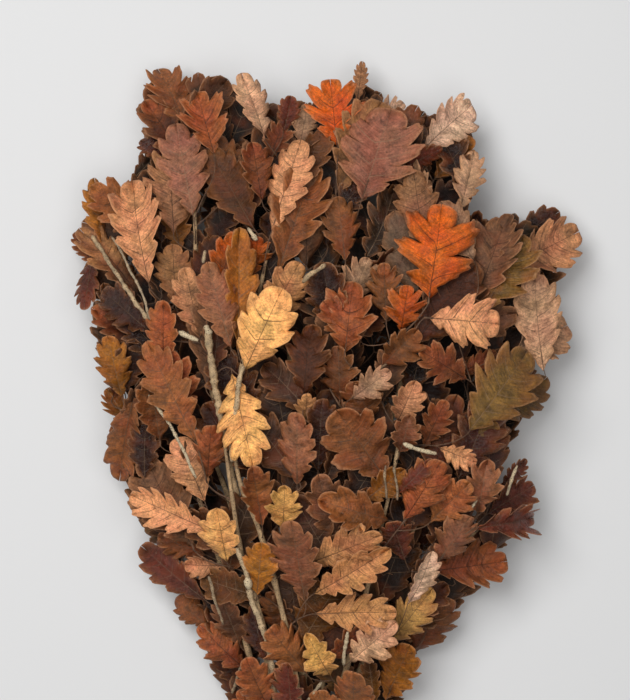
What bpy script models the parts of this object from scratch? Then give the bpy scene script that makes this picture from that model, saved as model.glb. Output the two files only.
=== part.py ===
"""A bunch of cut oak branches with dried autumn leaves, tied with twine and lying on a surface.

X is across the bunch, Y runs from the cut ends to the leaf tips and Z is up. The bunch is laid
out as it is seen from straight above, in picture pixels, with heights in metres.
"""

import math
import random
from collections import namedtuple

import bmesh
import bpy
import numpy as np
from mathutils import Matrix, Vector
from mathutils.bvhtree import BVHTree

# The view from above
PIXEL = 0.001
EYE_HEIGHT = 2.6
PICTURE_LEVEL = 0.10
PICTURE_MIDDLE = (315.0, 350.0)

# Leaves
BLADE_THICKNESS = 0.00075
STALK_THICKNESS = 0.0015
STALK_HALF_WIDTH = 0.0011
STALK_LENGTH = 0.006
STALK_RISE = 0.0024
LEAF_LENGTH = (0.078, 0.104)
LEAF_SLENDERNESS = (0.50, 0.64)
LEAF_CAMBER = (-0.004, 0.010)
LAYER_DEPTHS = (0.0, 0.014, 0.030, 0.050)
BASE_DROP = 0.018

# Branches and the tie
STEM_RADIUS = 0.0039
STEM_TIP_RADIUS = 0.0014
STEM_SIDES = 6
STEM_STEP = 0.058
TWIG_HALF_WIDTH = 0.0010
TWIG_ROOT_HALF_WIDTH = 0.0006
TWIG_STEP = 0.034
TWIG_REACH = 0.150
TWIG_LEAN = 0.25
STEM_BARE = 0.05
TWIG_BARE = 0.012
JOINT_TRIES = 120
CROWDING = 0.03
TIE_PIXEL = (305.0, 795.0)
CUT_END_PIXEL = 862.0
STEM_GAP = 0.0009
TWINE_DIAMETER = 0.0026
TWINE_TURNS = 3
TWINE_GAP = 0.0004
TIE_CORNERS = 18
TWINE_END_LENGTH = 0.034

# Room between pieces and under the bunch
CLEARANCE = 0.0005
FLOOR_GAP = 0.0015
RAISE_STEP = 0.003
SEED = 11

# The heap of leaves, row by row: pixel row, its left edge, its right edge, the thickness in metres
HEAP_ROWS = (
    (60, 150, 370, 0.085),
    (100, 142, 478, 0.110),
    (200, 92, 560, 0.150),
    (300, 80, 562, 0.178),
    (400, 107, 545, 0.182),
    (500, 125, 538, 0.165),
    (600, 178, 490, 0.130),
    (700, 232, 402, 0.085),
    (795, 285, 325, 0.036),
)
EDGE_LEVEL = 0.35

# Main stems: place in the tie as column and row of a honeycomb, then pixel column, pixel row
# and height in metres from the tie to the tip
STEMS = (
    ((-1.0, 0), ((268, 700, 0.022), (226, 622, 0.036), (186, 578, 0.048), (156, 552, 0.050))),
    ((-1.5, 1), ((264, 700, 0.040), (232, 600, 0.060), (206, 520, 0.076), (176, 435, 0.090),
                 (148, 395, 0.084))),
    ((-0.5, 1), ((291, 700, 0.038), (254, 570, 0.050), (214, 460, 0.058), (182, 385, 0.064),
                 (152, 324, 0.072), (131, 296, 0.074), (102, 246, 0.070))),
    ((-1.0, 2), ((275, 700, 0.057), (254, 590, 0.080), (232, 470, 0.098), (207, 370, 0.100),
                 (196, 290, 0.104), (196, 225, 0.098), (188, 150, 0.082))),
    ((-0.5, 3), ((276, 700, 0.072), (265, 624, 0.098), (249, 583, 0.112), (238, 535, 0.124),
                 (224, 439, 0.142), (215, 380, 0.148), (207, 330, 0.150))),
    ((0.5, 3), ((299, 700, 0.075), (282, 610, 0.100), (256, 520, 0.122), (233, 454, 0.132),
                (240, 375, 0.146), (258, 300, 0.138), (268, 250, 0.128))),
    ((0.0, 2), ((304, 700, 0.055), (300, 590, 0.076), (294, 450, 0.094), (288, 330, 0.104),
                (280, 250, 0.106), (278, 175, 0.092), (290, 130, 0.080))),
    ((0.0, 0), ((306, 700, 0.022), (318, 570, 0.042), (332, 430, 0.056), (340, 310, 0.066),
                (358, 215, 0.080), (372, 150, 0.078))),
    ((0.5, 1), ((319, 700, 0.038), (346, 590, 0.064), (380, 460, 0.086), (408, 360, 0.098),
                (428, 298, 0.104), (462, 262, 0.092), (508, 246, 0.076))),
    ((1.5, 1), ((350, 700, 0.040), (384, 600, 0.058), (424, 505, 0.074), (458, 430, 0.080),
                (492, 388, 0.076), (524, 348, 0.066))),
    ((1.0, 0), ((340, 700, 0.022), (384, 632, 0.038), (428, 582, 0.052), (466, 540, 0.058),
                (500, 508, 0.054))),
    ((1.0, 2), ((338, 700, 0.058), (344, 670, 0.074), (356, 632, 0.092), (374, 560, 0.112),
                (392, 480, 0.122), (402, 425, 0.124))),
)

# Leaves that lie flat on the surface: pixels of the blade's base and tip, width in metres
RESTING_LEAVES = (
    (168, 470, 128, 398, 0.050),
    (476, 470, 512, 398, 0.050),
    (236, 246, 206, 168, 0.050),
    (412, 250, 446, 172, 0.050),
    (268, 640, 238, 575, 0.044),
)

# Leaves seen from above: pixels of the blade's base and tip, width in metres, layer of depth,
# turn about the midrib in degrees
SEEN_LEAVES = (
    (185, 123, 158, 64, 0.052, 1, 10),
    (214, 154, 197, 92, 0.058, 0, 0),
    (265, 140, 241, 75, 0.036, 1, 30),
    (193, 215, 176, 124, 0.050, 0, 5),
    (170, 162, 141, 140, 0.026, 2, 20),
    (149, 283, 129, 176, 0.056, 0, -5),
    (180, 250, 168, 190, 0.038, 2, 0),
    (104, 248, 93, 180, 0.030, 1, 50),
    (104, 266, 75, 236, 0.026, 2, 30),
    (92, 258, 86, 312, 0.028, 1, 15),
    (235, 210, 215, 134, 0.042, 2, 0),
    (238, 350, 236, 228, 0.036, 0, 20),
    (250, 276, 259, 236, 0.032, 1, 0),
    (337, 145, 330, 79, 0.060, 0, 0),
    (357, 102, 362, 64, 0.016, 2, 0),
    (362, 199, 391, 110, 0.085, 0, 0),
    (425, 148, 472, 106, 0.046, 1, -10),
    (372, 130, 404, 103, 0.036, 2, 0),
    (272, 231, 300, 137, 0.040, 0, -8),
    (279, 269, 316, 161, 0.062, 1, 0),
    (270, 158, 284, 122, 0.032, 2, 0),
    (300, 146, 308, 104, 0.026, 2, 0),
    (283, 132, 292, 96, 0.022, 1, 25),
    (402, 170, 442, 148, 0.024, 1, 15),
    (428, 212, 404, 160, 0.042, 2, 0),
    (460, 210, 476, 149, 0.032, 1, 15),
    (436, 178, 470, 138, 0.032, 2, 0),
    (429, 298, 443, 203, 0.082, 0, 0),
    (508, 268, 580, 231, 0.055, 1, 0),
    (485, 309, 525, 232, 0.062, 0, 0),
    (401, 330, 408, 287, 0.042, 1, 0),
    (430, 318, 501, 324, 0.055, 0, 0),
    (466, 379, 420, 350, 0.042, 1, 0),
    (455, 374, 497, 352, 0.024, 2, 20),
    (383, 365, 418, 330, 0.040, 1, 0),
    (515, 350, 564, 327, 0.050, 1, 0),
    (470, 430, 530, 350, 0.068, 0, 0),
    (461, 443, 499, 425, 0.036, 1, 0),
    (440, 448, 477, 463, 0.026, 0, 0),
    (477, 511, 488, 457, 0.042, 0, 0),
    (489, 513, 534, 485, 0.042, 1, 0),
    (500, 488, 526, 459, 0.018, 2, 0),
    (475, 527, 540, 517, 0.046, 0, 0),
    (438, 560, 471, 515, 0.042, 0, 0),
    (412, 560, 435, 527, 0.032, 1, 0),
    (405, 518, 442, 459, 0.046, 0, 0),
    (400, 452, 411, 413, 0.030, 1, 0),
    (424, 446, 446, 400, 0.032, 1, 0),
    (309, 563, 383, 534, 0.042, 0, 0),
    (315, 593, 389, 550, 0.040, 0, 0),
    (316, 614, 398, 611, 0.044, 0, 0),
    (407, 604, 432, 550, 0.026, 0, 35),
    (432, 571, 504, 561, 0.050, 1, 0),
    (388, 642, 432, 590, 0.042, 1, 0),
    (412, 652, 450, 600, 0.046, 2, 0),
    (350, 660, 395, 622, 0.040, 0, 0),
    (386, 700, 410, 646, 0.046, 0, 0),
    (330, 675, 306, 633, 0.034, 0, 0),
    (346, 712, 345, 678, 0.028, 1, 0),
    (206, 600, 140, 545, 0.036, 1, 0),
    (206, 555, 158, 535, 0.032, 2, 0),
    (209, 530, 133, 495, 0.046, 0, 0),
    (222, 566, 184, 565, 0.028, 1, 0),
    (227, 561, 216, 505, 0.040, 0, 0),
    (245, 668, 199, 625, 0.036, 1, 0),
    (208, 626, 176, 598, 0.030, 1, 0),
    (305, 600, 290, 515, 0.054, 0, 0),
    (136, 388, 119, 482, 0.034, 1, 10),
    (122, 396, 108, 334, 0.036, 1, 0),
    (130, 428, 108, 388, 0.032, 2, 0),
    (195, 440, 147, 341, 0.044, 0, 0),
    (208, 476, 212, 423, 0.038, 1, 0),
    (232, 374, 253, 467, 0.048, 0, 0),
    (283, 528, 285, 488, 0.040, 0, 0),
    (245, 370, 282, 289, 0.054, 0, 0),
    (231, 347, 208, 262, 0.040, 0, 0),
    (200, 337, 185, 267, 0.038, 1, 0),
    (176, 304, 172, 244, 0.036, 2, 0),
    (164, 366, 163, 301, 0.032, 0, 0),
    (150, 332, 100, 288, 0.038, 1, 0),
    (345, 352, 353, 282, 0.056, 0, 0),
    (340, 400, 338, 345, 0.040, 2, 0),
    (352, 398, 391, 370, 0.034, 1, 0),
    (350, 302, 368, 258, 0.040, 2, 0),
    (297, 484, 297, 411, 0.038, 0, 0),
    (306, 430, 307, 393, 0.024, 1, 0),
    (306, 670, 270, 626, 0.042, 1, 0),
    (262, 728, 240, 688, 0.036, 0, 0),
    (292, 712, 288, 662, 0.042, 1, 0),
    (268, 702, 246, 652, 0.038, 1, 0),
    (290, 640, 272, 592, 0.038, 2, 0),
    (258, 590, 262, 544, 0.034, 2, 0),
    (240, 642, 222, 598, 0.034, 2, 0),
    (332, 735, 318, 690, 0.036, 1, 0),
    (372, 738, 374, 690, 0.036, 2, 0),
    (385, 478, 338, 412, 0.060, 1, 0),
    (338, 540, 318, 474, 0.042, 1, 0),
    (388, 520, 318, 500, 0.046, 1, 0),
    (398, 492, 432, 460, 0.018, 0, 0),
    (405, 560, 392, 522, 0.034, 1, 0),
    (398, 420, 416, 380, 0.034, 1, 0),
    (372, 420, 352, 378, 0.040, 2, 0),
)

# The bunch's edge as seen from above, in pixels, from the lower left round by the top
EDGE_PIXELS = (
    (236, 760), (228, 700), (198, 628), (142, 548), (133, 498), (114, 470), (106, 420), (104, 348),
    (84, 314), (74, 240), (92, 182), (130, 176), (152, 190), (140, 142), (142, 78), (160, 64),
    (195, 66), (240, 76), (275, 108), (312, 88), (362, 66), (396, 108), (441, 98), (479, 117),
    (480, 170), (464, 204), (500, 214), (560, 204), (580, 232), (552, 264), (564, 326), (540, 392),
    (494, 446), (532, 482), (538, 520), (504, 560), (452, 612), (418, 665), (402, 760),
)
BUNCH_MIDDLE = (310.0, 430.0)
EDGE_TRIES = 14
EDGE_PULL = 0.07
SHOULDER_PLACE = 0.5
SHOULDER_REACH = 0.8

# Leaves between those, in three sheets: pixels between leaves, place through the heap from 0 at
# the underside to 1 at the top, and the way a leaf moves to find room
SHEETS = ((102, 0.82, -1), (160, 0.45, 1), (126, 0.06, 1))
SHEET_JITTER = 0.24
SHEET_ROWS = (110, 730)
SHEET_MARGIN = 18
FAN_PIXEL = (305.0, 900.0)
FAN_SPREAD = math.radians(32)
SHEET_ROLL = 22
SHEET_TRIES = 9
SEEN_TRIES = 22

# A leaf's outline: share of the length, half width as a share of the full width
LOBES = ((0.0, 0.06), (0.20, 0.26), (0.28, 0.13), (0.47, 0.42), (0.56, 0.21), (0.76, 0.50),
         (1.0, 0.17))
LOBE_SKEW = 0.05

Blade = namedtuple("Blade", "base axis side normal length width camber skew")
Solid = namedtuple("Solid", "points faces tree low high")
Joint = namedtuple("Joint", "place along branch part")


def remove_all_objects():
    """Empty the scene."""
    for thing in list(bpy.data.objects):
        bpy.data.objects.remove(thing, do_unlink=True)


def seen_at(column, row, height):
    """The point seen at a pixel of the picture, at a height."""
    scale = PIXEL * (EYE_HEIGHT - height) / (EYE_HEIGHT - PICTURE_LEVEL)
    x = (column - PICTURE_MIDDLE[0]) * scale
    y = (PICTURE_MIDDLE[1] - row) * scale
    return Vector((x, y, height))


def pixel_of(point):
    """The pixel of the picture where a point is seen."""
    scale = PIXEL * (EYE_HEIGHT - point.z) / (EYE_HEIGHT - PICTURE_LEVEL)
    return PICTURE_MIDDLE[0] + point.x / scale, PICTURE_MIDDLE[1] - point.y / scale


def heap_edges(row):
    """The heap's left and right edge at a pixel row."""
    rows = [r[0] for r in HEAP_ROWS]
    return [float(np.interp(row, rows, [r[k] for r in HEAP_ROWS])) for k in (1, 2)]


def heap_level(column, row, share):
    """The height at a share of the way from the heap's underside to its top."""
    left, right = heap_edges(row)
    thickness = float(np.interp(row, [r[0] for r in HEAP_ROWS], [r[3] for r in HEAP_ROWS]))
    across = min(1.0, abs(2 * (column - left) / (right - left) - 1))
    roundness = math.sqrt(1 - across * across)
    low = thickness * EDGE_LEVEL * (1 - roundness)
    high = thickness * (EDGE_LEVEL + (1 - EDGE_LEVEL) * roundness)
    return low + (high - low) * share


def inside_edge(column, row):
    """Whether a pixel lies inside the bunch's edge."""
    inside = False
    for (u, v), (next_u, next_v) in zip(EDGE_PIXELS, EDGE_PIXELS[1:] + EDGE_PIXELS[:1]):
        if (v > row) != (next_v > row) and column < u + (row - v) * (next_u - u) / (next_v - v):
            inside = not inside
    return inside


def drawn_in(column, row, ahead, down, slenderness):
    """A leaf's middle pixel, moved in until its tip and its shoulders are inside the edge."""
    for _ in range(EDGE_TRIES):
        shoulder = (column + ahead * SHOULDER_PLACE, row + down * SHOULDER_PLACE)
        reach = slenderness * SHOULDER_REACH
        corners = ((column + ahead, row + down),
                   (shoulder[0] - down * reach, shoulder[1] + ahead * reach),
                   (shoulder[0] + down * reach, shoulder[1] - ahead * reach))
        if all(inside_edge(*corner) for corner in corners):
            break
        column += (BUNCH_MIDDLE[0] - column) * EDGE_PULL
        row += (BUNCH_MIDDLE[1] - row) * EDGE_PULL
    return column, row


def make_solid(points, faces):
    """Points and faces with the tree and box that the room tests use."""
    low = Vector([min(p[k] for p in points) for k in range(3)])
    high = Vector([max(p[k] for p in points) for k in range(3)])
    return Solid(points, faces, BVHTree.FromPolygons(points, faces), low, high)


def crosses(a, b):
    """Whether two solids' surfaces cross."""
    if any(a.low[k] > b.high[k] or b.low[k] > a.high[k] for k in range(3)):
        return False
    return bool(a.tree.overlap(b.tree))


def lifted(solid, shift):
    """The solid moved."""
    return make_solid([p + shift for p in solid.points], solid.faces)


def make_blade(base, tip, width, roll, camber, skew):
    """A blade's own axes, from its base and tip and its turn about the midrib."""
    axis = (tip - base).normalized()
    up = (Vector((0, 0, 1)) - axis * axis.z).normalized()
    normal = Matrix.Rotation(math.radians(roll), 3, axis) @ up
    side = axis.cross(normal)
    return Blade(base, axis, side, normal, (tip - base).length, width, camber, skew)


def strip_solid(stations):
    """A closed strip through (left, right, half thickness vector) stations."""
    points = []
    for left, right, half in stations:
        points += [left + half, right + half, left - half, right - half]
    faces = [(0, 1, 3), (0, 3, 2)]
    for k in range(0, len(points) - 4, 4):
        n = k + 4
        faces += [(k, n + 1, k + 1), (k, n, n + 1)]
        faces += [(k + 2, k + 3, n + 3), (k + 2, n + 3, n + 2)]
        faces += [(k, k + 2, n + 2), (k, n + 2, n)]
        faces += [(k + 1, n + 3, k + 3), (k + 1, n + 1, n + 3)]
    last = len(points) - 4
    faces += [(last, last + 3, last + 1), (last, last + 2, last + 3)]
    return points, faces


def stalk_end(blade):
    """Where the short stalk of a blade ends."""
    return blade.base - blade.axis * STALK_LENGTH + blade.normal * STALK_RISE


def twig_stations(blade, path, extra):
    """Square stations along a twig that runs into a blade's stalk, from its root."""
    stations = []
    across = blade.side
    for k in range(len(path) - 1, -1, -1):
        along = (path[min(k + 1, len(path) - 1)] - path[max(k - 1, 0)]).normalized()
        across = (across - along * across.dot(along)).normalized()
        half = (TWIG_HALF_WIDTH if k else TWIG_ROOT_HALF_WIDTH) + extra
        side = across * half
        stations.insert(0, (path[k] - side, path[k] + side, across.cross(along) * half))
    return stations


def blade_solid(blade, path=None, extra=0.0):
    """A lobed blade with its stalk, which may start as a twig that follows a path."""
    if path:
        stations = twig_stations(blade, path, extra)
    else:
        end = stalk_end(blade)
        across = blade.side * STALK_HALF_WIDTH
        half = blade.normal * (STALK_THICKNESS / 2 + extra)
        stations = [(end - across, end + across, half)]
    for share, half_width in LOBES:
        middle = blade.base + blade.axis * (blade.length * share)
        middle += blade.normal * (blade.camber * 4 * share * (1 - share))
        lean = blade.axis * (blade.length * blade.skew * LOBE_SKEW * (0 < share < 1))
        across = blade.side * (half_width * blade.width)
        half = blade.normal * (BLADE_THICKNESS / 2 + extra)
        stations.append((middle - across - lean, middle + across + lean, half))
    return make_solid(*strip_solid(stations))


def tube_solid(path, radii, sides):
    """A closed tube along a path, with a corner to +X at its start."""
    points = []
    faces = []
    across = Vector((1, 0, 0))
    for k, place in enumerate(path):
        ahead = path[min(k + 1, len(path) - 1)] - path[max(k - 1, 0)]
        ahead.normalize()
        across = (across - ahead * across.dot(ahead)).normalized()
        other = ahead.cross(across)
        for s in range(sides):
            turn = 2 * math.pi * s / sides
            points.append(place + (across * math.cos(turn) + other * math.sin(turn)) * radii[k])
        if k == 0:
            continue
        first = (k - 1) * sides
        for s in range(sides):
            n = (s + 1) % sides
            a, b, c, d = first + s, first + n, first + sides + n, first + sides + s
            faces += [(a, b, c), (a, c, d)]
    last = len(points) - sides
    for s in range(1, sides - 1):
        faces.append((0, s + 1, s))
        faces.append((last, last + s, last + s + 1))
    return make_solid(points, faces)


def smooth_path(knots, step):
    """Evenly spaced points on a smooth curve through the knots."""
    fine = []
    for k in range(len(knots) - 1):
        before = knots[max(k - 1, 0)]
        after = knots[min(k + 2, len(knots) - 1)]
        start_pull = (knots[k + 1] - before) / 2
        end_pull = (after - knots[k]) / 2
        for j in range(8):
            t = j / 8
            fine.append(
                knots[k] * (2 * t**3 - 3 * t**2 + 1) + start_pull * (t**3 - 2 * t**2 + t)
                + knots[k + 1] * (3 * t**2 - 2 * t**3) + end_pull * (t**3 - t**2)
            )
    fine.append(knots[-1])
    along = [0.0]
    for a, b in zip(fine, fine[1:]):
        along.append(along[-1] + (b - a).length)
    count = max(2, round(along[-1] / step) + 1)
    wanted = np.linspace(0, along[-1], count)
    columns = [np.interp(wanted, along, [p[k] for p in fine]) for k in range(3)]
    return [Vector(p) for p in zip(*columns)]


def bow_path(start, start_way, end, end_way, step):
    """A curve that leaves one point and reaches another in given directions."""
    reach = (end - start).length
    pull_a = start + start_way * (reach / 3)
    pull_b = end - end_way * (reach / 3)
    count = max(2, math.ceil(reach / step))
    path = []
    for j in range(count + 1):
        t = j / count
        path.append(
            start * (1 - t) ** 3 + pull_a * (3 * t * (1 - t) ** 2)
            + pull_b * (3 * t**2 * (1 - t)) + end * t**3
        )
    return path


def tie_slot(column, row):
    """A stem's middle in the tie: X from the tie's middle, and height."""
    spacing = 2 * STEM_RADIUS + STEM_GAP
    lowest = (TWINE_DIAMETER + TWINE_GAP + STEM_RADIUS) * math.cos(math.pi / TIE_CORNERS)
    return column * spacing, lowest + row * spacing * math.sqrt(3) / 2


def stem_path(slot, knots):
    """A main stem from its cut end through the tie to its tip."""
    x, z = tie_slot(*slot)
    tie = seen_at(*TIE_PIXEL, z)
    cut = Vector((tie.x + x * 1.35, seen_at(TIE_PIXEL[0], CUT_END_PIXEL, z).y, z))
    held = [Vector((tie.x + x, tie.y + y, z)) for y in (-0.010, 0.012)]
    rest = smooth_path([held[1]] + [seen_at(*knot) for knot in knots], STEM_STEP)
    return [cut, held[0]] + rest


def stem_radii(path):
    """Radii that taper from the tie to the tip."""
    count = len(path) - 1
    shares = [max(0, k - 2) / (count - 2) for k in range(count + 1)]
    return [STEM_RADIUS + (STEM_TIP_RADIUS - STEM_RADIUS) * share**0.8 for share in shares]


def joints_along(path, branch, part, skip):
    """Places along the path of a branch's part where a twig can grow."""
    joints = []
    dense = smooth_path(path, 0.009)
    for k in range(1, len(dense)):
        if k * 0.009 >= skip:
            joints.append(Joint(dense[k], (dense[k] - dense[k - 1]).normalized(), branch, part))
    return joints


def resting_blades(draw):
    """The leaves whose undersides lie on the surface."""
    blades = []
    for base_u, base_v, tip_u, tip_v, width in RESTING_LEAVES:
        level = BLADE_THICKNESS / 2
        base, tip = seen_at(base_u, base_v, level), seen_at(tip_u, tip_v, level)
        blades.append(make_blade(base, tip, width, 0, 0, draw.uniform(-1, 1)))
    return blades


def seen_blades(draw):
    """The leaves seen from above, the deeper and further ones first."""
    blades = []
    for row in sorted(SEEN_LEAVES, key=lambda r: (-r[5], r[3])):
        base_u, base_v, tip_u, tip_v, width, layer, roll = row
        depth = LAYER_DEPTHS[layer]
        base = seen_at(base_u, base_v, heap_level(base_u, base_v, 1) - depth - BASE_DROP)
        tip = seen_at(tip_u, tip_v, heap_level(tip_u, tip_v, 1) - depth)
        camber, skew = draw.uniform(*LEAF_CAMBER), draw.uniform(-1, 1)
        blades.append((make_blade(base, tip, width, roll, camber, skew), 1, SEEN_TRIES))
    return blades


def sheet_blades(draw):
    """The leaves between and under those, fanned out from the tie."""
    blades = []
    for spacing, share, way in SHEETS:
        for row in range(SHEET_ROWS[0], SHEET_ROWS[1], spacing):
            left, right = heap_edges(row)
            count = max(2, round((right - left - 2 * SHEET_MARGIN) / spacing) + 1)
            for column in np.linspace(left + SHEET_MARGIN, right - SHEET_MARGIN, count):
                u = float(column) + draw.uniform(-1, 1) * SHEET_JITTER * spacing
                v = row + draw.uniform(-1, 1) * SHEET_JITTER * spacing
                turn = math.atan2(u - FAN_PIXEL[0], FAN_PIXEL[1] - v)
                turn += draw.uniform(-1, 1) * FAN_SPREAD
                length = draw.uniform(*LEAF_LENGTH)
                slenderness = draw.uniform(*LEAF_SLENDERNESS)
                half = length / PIXEL / 2
                du, dv = math.sin(turn) * half, -math.cos(turn) * half
                u, v = drawn_in(u, v, du, dv, slenderness)
                base = seen_at(u - du, v - dv, heap_level(u - du, v - dv, share))
                tip = seen_at(u + du, v + dv, heap_level(u + du, v + dv, share))
                roll = draw.uniform(-1, 1) * SHEET_ROLL
                camber, skew = draw.uniform(*LEAF_CAMBER), draw.uniform(-1, 1)
                blade = make_blade(base, tip, length * slenderness, roll, camber, skew)
                blades.append((blade, way, SHEET_TRIES))
    return blades


def find_room(blade, way, tries, others):
    """The blade, raised or lowered until it crosses nothing, or None."""
    room = blade_solid(blade, extra=CLEARANCE)
    step = Vector((0, 0, way * RAISE_STEP))
    shift = Vector((0, 0, max(0.0, FLOOR_GAP - room.low.z)))
    for _ in range(tries):
        moved = lifted(room, shift)
        if moved.low.z >= FLOOR_GAP * 0.99 and not any(crosses(moved, o) for o in others):
            return blade._replace(base=blade.base + shift)
        shift = shift + step
    return None


def place_blades(stems):
    """All blades, each clear of the stems and of the other blades."""
    draw = random.Random(SEED)
    blades = resting_blades(draw)
    taken = stems + [blade_solid(blade) for blade in blades]
    for blade, way, tries in seen_blades(draw) + sheet_blades(draw):
        placed = find_room(blade, way, tries, taken)
        if placed is not None:
            blades.append(placed)
            taken.append(blade_solid(placed))
    return blades


def growth_cost(joint, end, axis):
    """How far and how sharply a twig would turn from a joint to a stalk's end."""
    way = end - joint.place
    reach = way.length
    if not 0.004 < reach < TWIG_REACH:
        return None
    way = way / reach
    leave, arrive = way.dot(joint.along), way.dot(axis)
    if leave < 0.05 or arrive < -0.3:
        return None
    return reach * (1 + 0.8 * (1 - leave) + 0.6 * (1 - arrive))


def twig_path(joint, blade):
    """The way of a twig from a joint to the end of a blade's stalk."""
    end = stalk_end(blade)
    leave = ((end - joint.place).normalized() + joint.along * TWIG_LEAN).normalized()
    arrive = (blade.axis - blade.normal * (STALK_RISE / STALK_LENGTH)).normalized()
    return bow_path(joint.place, leave, end, arrive, TWIG_STEP)


def best_joint(blade, joints, branches, waiting):
    """The nearest joint whose twig crosses nothing, or else only its own branch."""
    end = stalk_end(blade)
    costs = []
    for k, joint in enumerate(joints):
        cost = growth_cost(joint, end, blade.axis)
        if cost is not None:
            costs.append((cost * (1 + CROWDING * len(branches[joint.branch])), k))
    spare = None
    for _, k in sorted(costs)[:JOINT_TRIES]:
        joint = joints[k]
        path = twig_path(joint, blade)
        if not all(inside_edge(*pixel_of(place)) for place in path):
            continue
        room = blade_solid(blade, path, CLEARANCE)
        others = [part for b, parts in enumerate(branches) if b != joint.branch for part in parts]
        if any(crosses(room, other) for other in others + waiting):
            continue
        own = branches[joint.branch]
        if not any(crosses(room, part) for p, part in enumerate(own) if p != joint.part):
            return joint, path
        spare = spare or (joint, path)
    return spare


def grow(stems, paths, blades):
    """The solids of each branch, each blade joined to the nearest wood that it can reach."""
    branches = [[stem] for stem in stems]
    joints = []
    for branch, path in enumerate(paths):
        joints += joints_along(path[2:], branch, 0, STEM_BARE)
    blades = sorted(blades, key=lambda blade: blade.base.y)
    waiting = [blade_solid(blade) for blade in blades]
    for blade in blades:
        waiting.pop(0)
        found = best_joint(blade, joints, branches, waiting)
        if found is None:
            continue
        joint, path = found
        joints += joints_along(path, joint.branch, len(branches[joint.branch]), TWIG_BARE)
        branches[joint.branch].append(blade_solid(blade, path))
    return branches


def tie_solids():
    """The twine: a ribbed band of turns round the stems, a knot and two ends."""
    slots = [tie_slot(*slot) for slot, _ in STEMS]
    middle = seen_at(*TIE_PIXEL, 0)
    hold = STEM_RADIUS + TWINE_GAP
    ridge, groove = hold + TWINE_DIAMETER, hold + TWINE_DIAMETER * 0.66
    pitch = TWINE_DIAMETER * 0.9
    width = pitch * TWINE_TURNS
    profile = [(-width / 2, hold)]
    profile += [(-width / 2 + pitch * k / 2, ridge if k % 2 else groove)
                for k in range(2 * TWINE_TURNS + 1)]
    profile.append((width / 2, hold))
    points = []
    faces = []
    for k in range(TIE_CORNERS):
        turn = 2 * math.pi * k / TIE_CORNERS
        out = (math.cos(turn), math.sin(turn))
        x, z = max(slots, key=lambda s: s[0] * out[0] + s[1] * out[1])
        for y, reach in profile:
            points.append(Vector((middle.x + x + out[0] * reach, middle.y + y, z + out[1] * reach)))
    ring = len(profile)
    for k in range(TIE_CORNERS):
        for j in range(ring):
            a, b = k * ring + j, k * ring + (j + 1) % ring
            c, d = (a + ring) % len(points), (b + ring) % len(points)
            faces += [(a, b, d), (a, d, c)]
    band = make_solid(points, faces)
    top = max(p.z for p in points)
    knot_place = Vector((middle.x, middle.y, top + TWINE_DIAMETER * 0.4))
    solids = [band, ball_solid(knot_place, TWINE_DIAMETER * 1.25)]
    for way in (-1, 1):
        end = knot_place + Vector((way * TWINE_END_LENGTH * 0.75, TWINE_END_LENGTH * 0.45, -0.004))
        path = bow_path(knot_place, Vector((way, 0, 0.5)).normalized(), end,
                        Vector((way, 0.8, -0.7)).normalized(), 0.007)
        solids.append(tube_solid(path, [TWINE_DIAMETER * 0.45] * len(path), 5))
    return solids


def ball_solid(place, radius):
    """A small round solid."""
    mesh = bmesh.new()
    bmesh.ops.create_icosphere(mesh, subdivisions=1, radius=radius)
    points = [place + v.co for v in mesh.verts]
    faces = [tuple(v.index for v in f.verts) for f in mesh.faces]
    mesh.free()
    return make_solid(points, faces)


def make_material(name, colour, roughness):
    """A plain surface."""
    material = bpy.data.materials.new(name)
    material.use_nodes = True
    shader = material.node_tree.nodes["Principled BSDF"]
    shader.inputs["Base Color"].default_value = (*colour, 1)
    shader.inputs["Roughness"].default_value = roughness
    shader.inputs["Metallic"].default_value = 0.0
    return material


def make_object(name, solid):
    """An object from a solid, with its faces pointing out."""
    mesh = bpy.data.meshes.new(name)
    mesh.from_pydata([tuple(p) for p in solid.points], [], solid.faces)
    shape = bmesh.new()
    shape.from_mesh(mesh)
    bmesh.ops.recalc_face_normals(shape, faces=shape.faces)
    shape.to_mesh(mesh)
    shape.free()
    thing = bpy.data.objects.new(name, mesh)
    return thing


def fuse(name, solids, material):
    """One body from solids that run into each other."""
    body = make_object(name, solids[0])
    bpy.context.scene.collection.objects.link(body)
    others = bpy.data.collections.new(name + "_parts")
    for solid in solids[1:]:
        others.objects.link(make_object(name + "_part", solid))
    bpy.context.scene.collection.children.link(others)
    union = body.modifiers.new("union", "BOOLEAN")
    union.operation = "UNION"
    union.operand_type = "COLLECTION"
    union.collection = others
    union.solver = "MANIFOLD"
    seen = body.evaluated_get(bpy.context.evaluated_depsgraph_get())
    fused = bpy.data.meshes.new_from_object(seen)
    body.modifiers.remove(union)
    body.data = fused
    for thing in list(others.objects):
        bpy.data.objects.remove(thing, do_unlink=True)
    bpy.data.collections.remove(others)
    keep_largest(fused)
    fused.name = name
    fused.materials.clear()
    fused.materials.append(material)
    return body


def keep_largest(mesh):
    """Drop any scrap that doesn't hold on to the largest body of a mesh."""
    shape = bmesh.new()
    shape.from_mesh(mesh)
    bmesh.ops.triangulate(shape, faces=shape.faces)
    left = set(shape.verts)
    groups = []
    while left:
        group = [left.pop()]
        for vert in group:
            for edge in vert.link_edges:
                other = edge.other_vert(vert)
                if other in left:
                    left.discard(other)
                    group.append(other)
        groups.append(group)
    groups.sort(key=len)
    for group in groups[:-1]:
        bmesh.ops.delete(shape, geom=group, context="VERTS")
    shape.to_mesh(mesh)
    shape.free()


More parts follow.
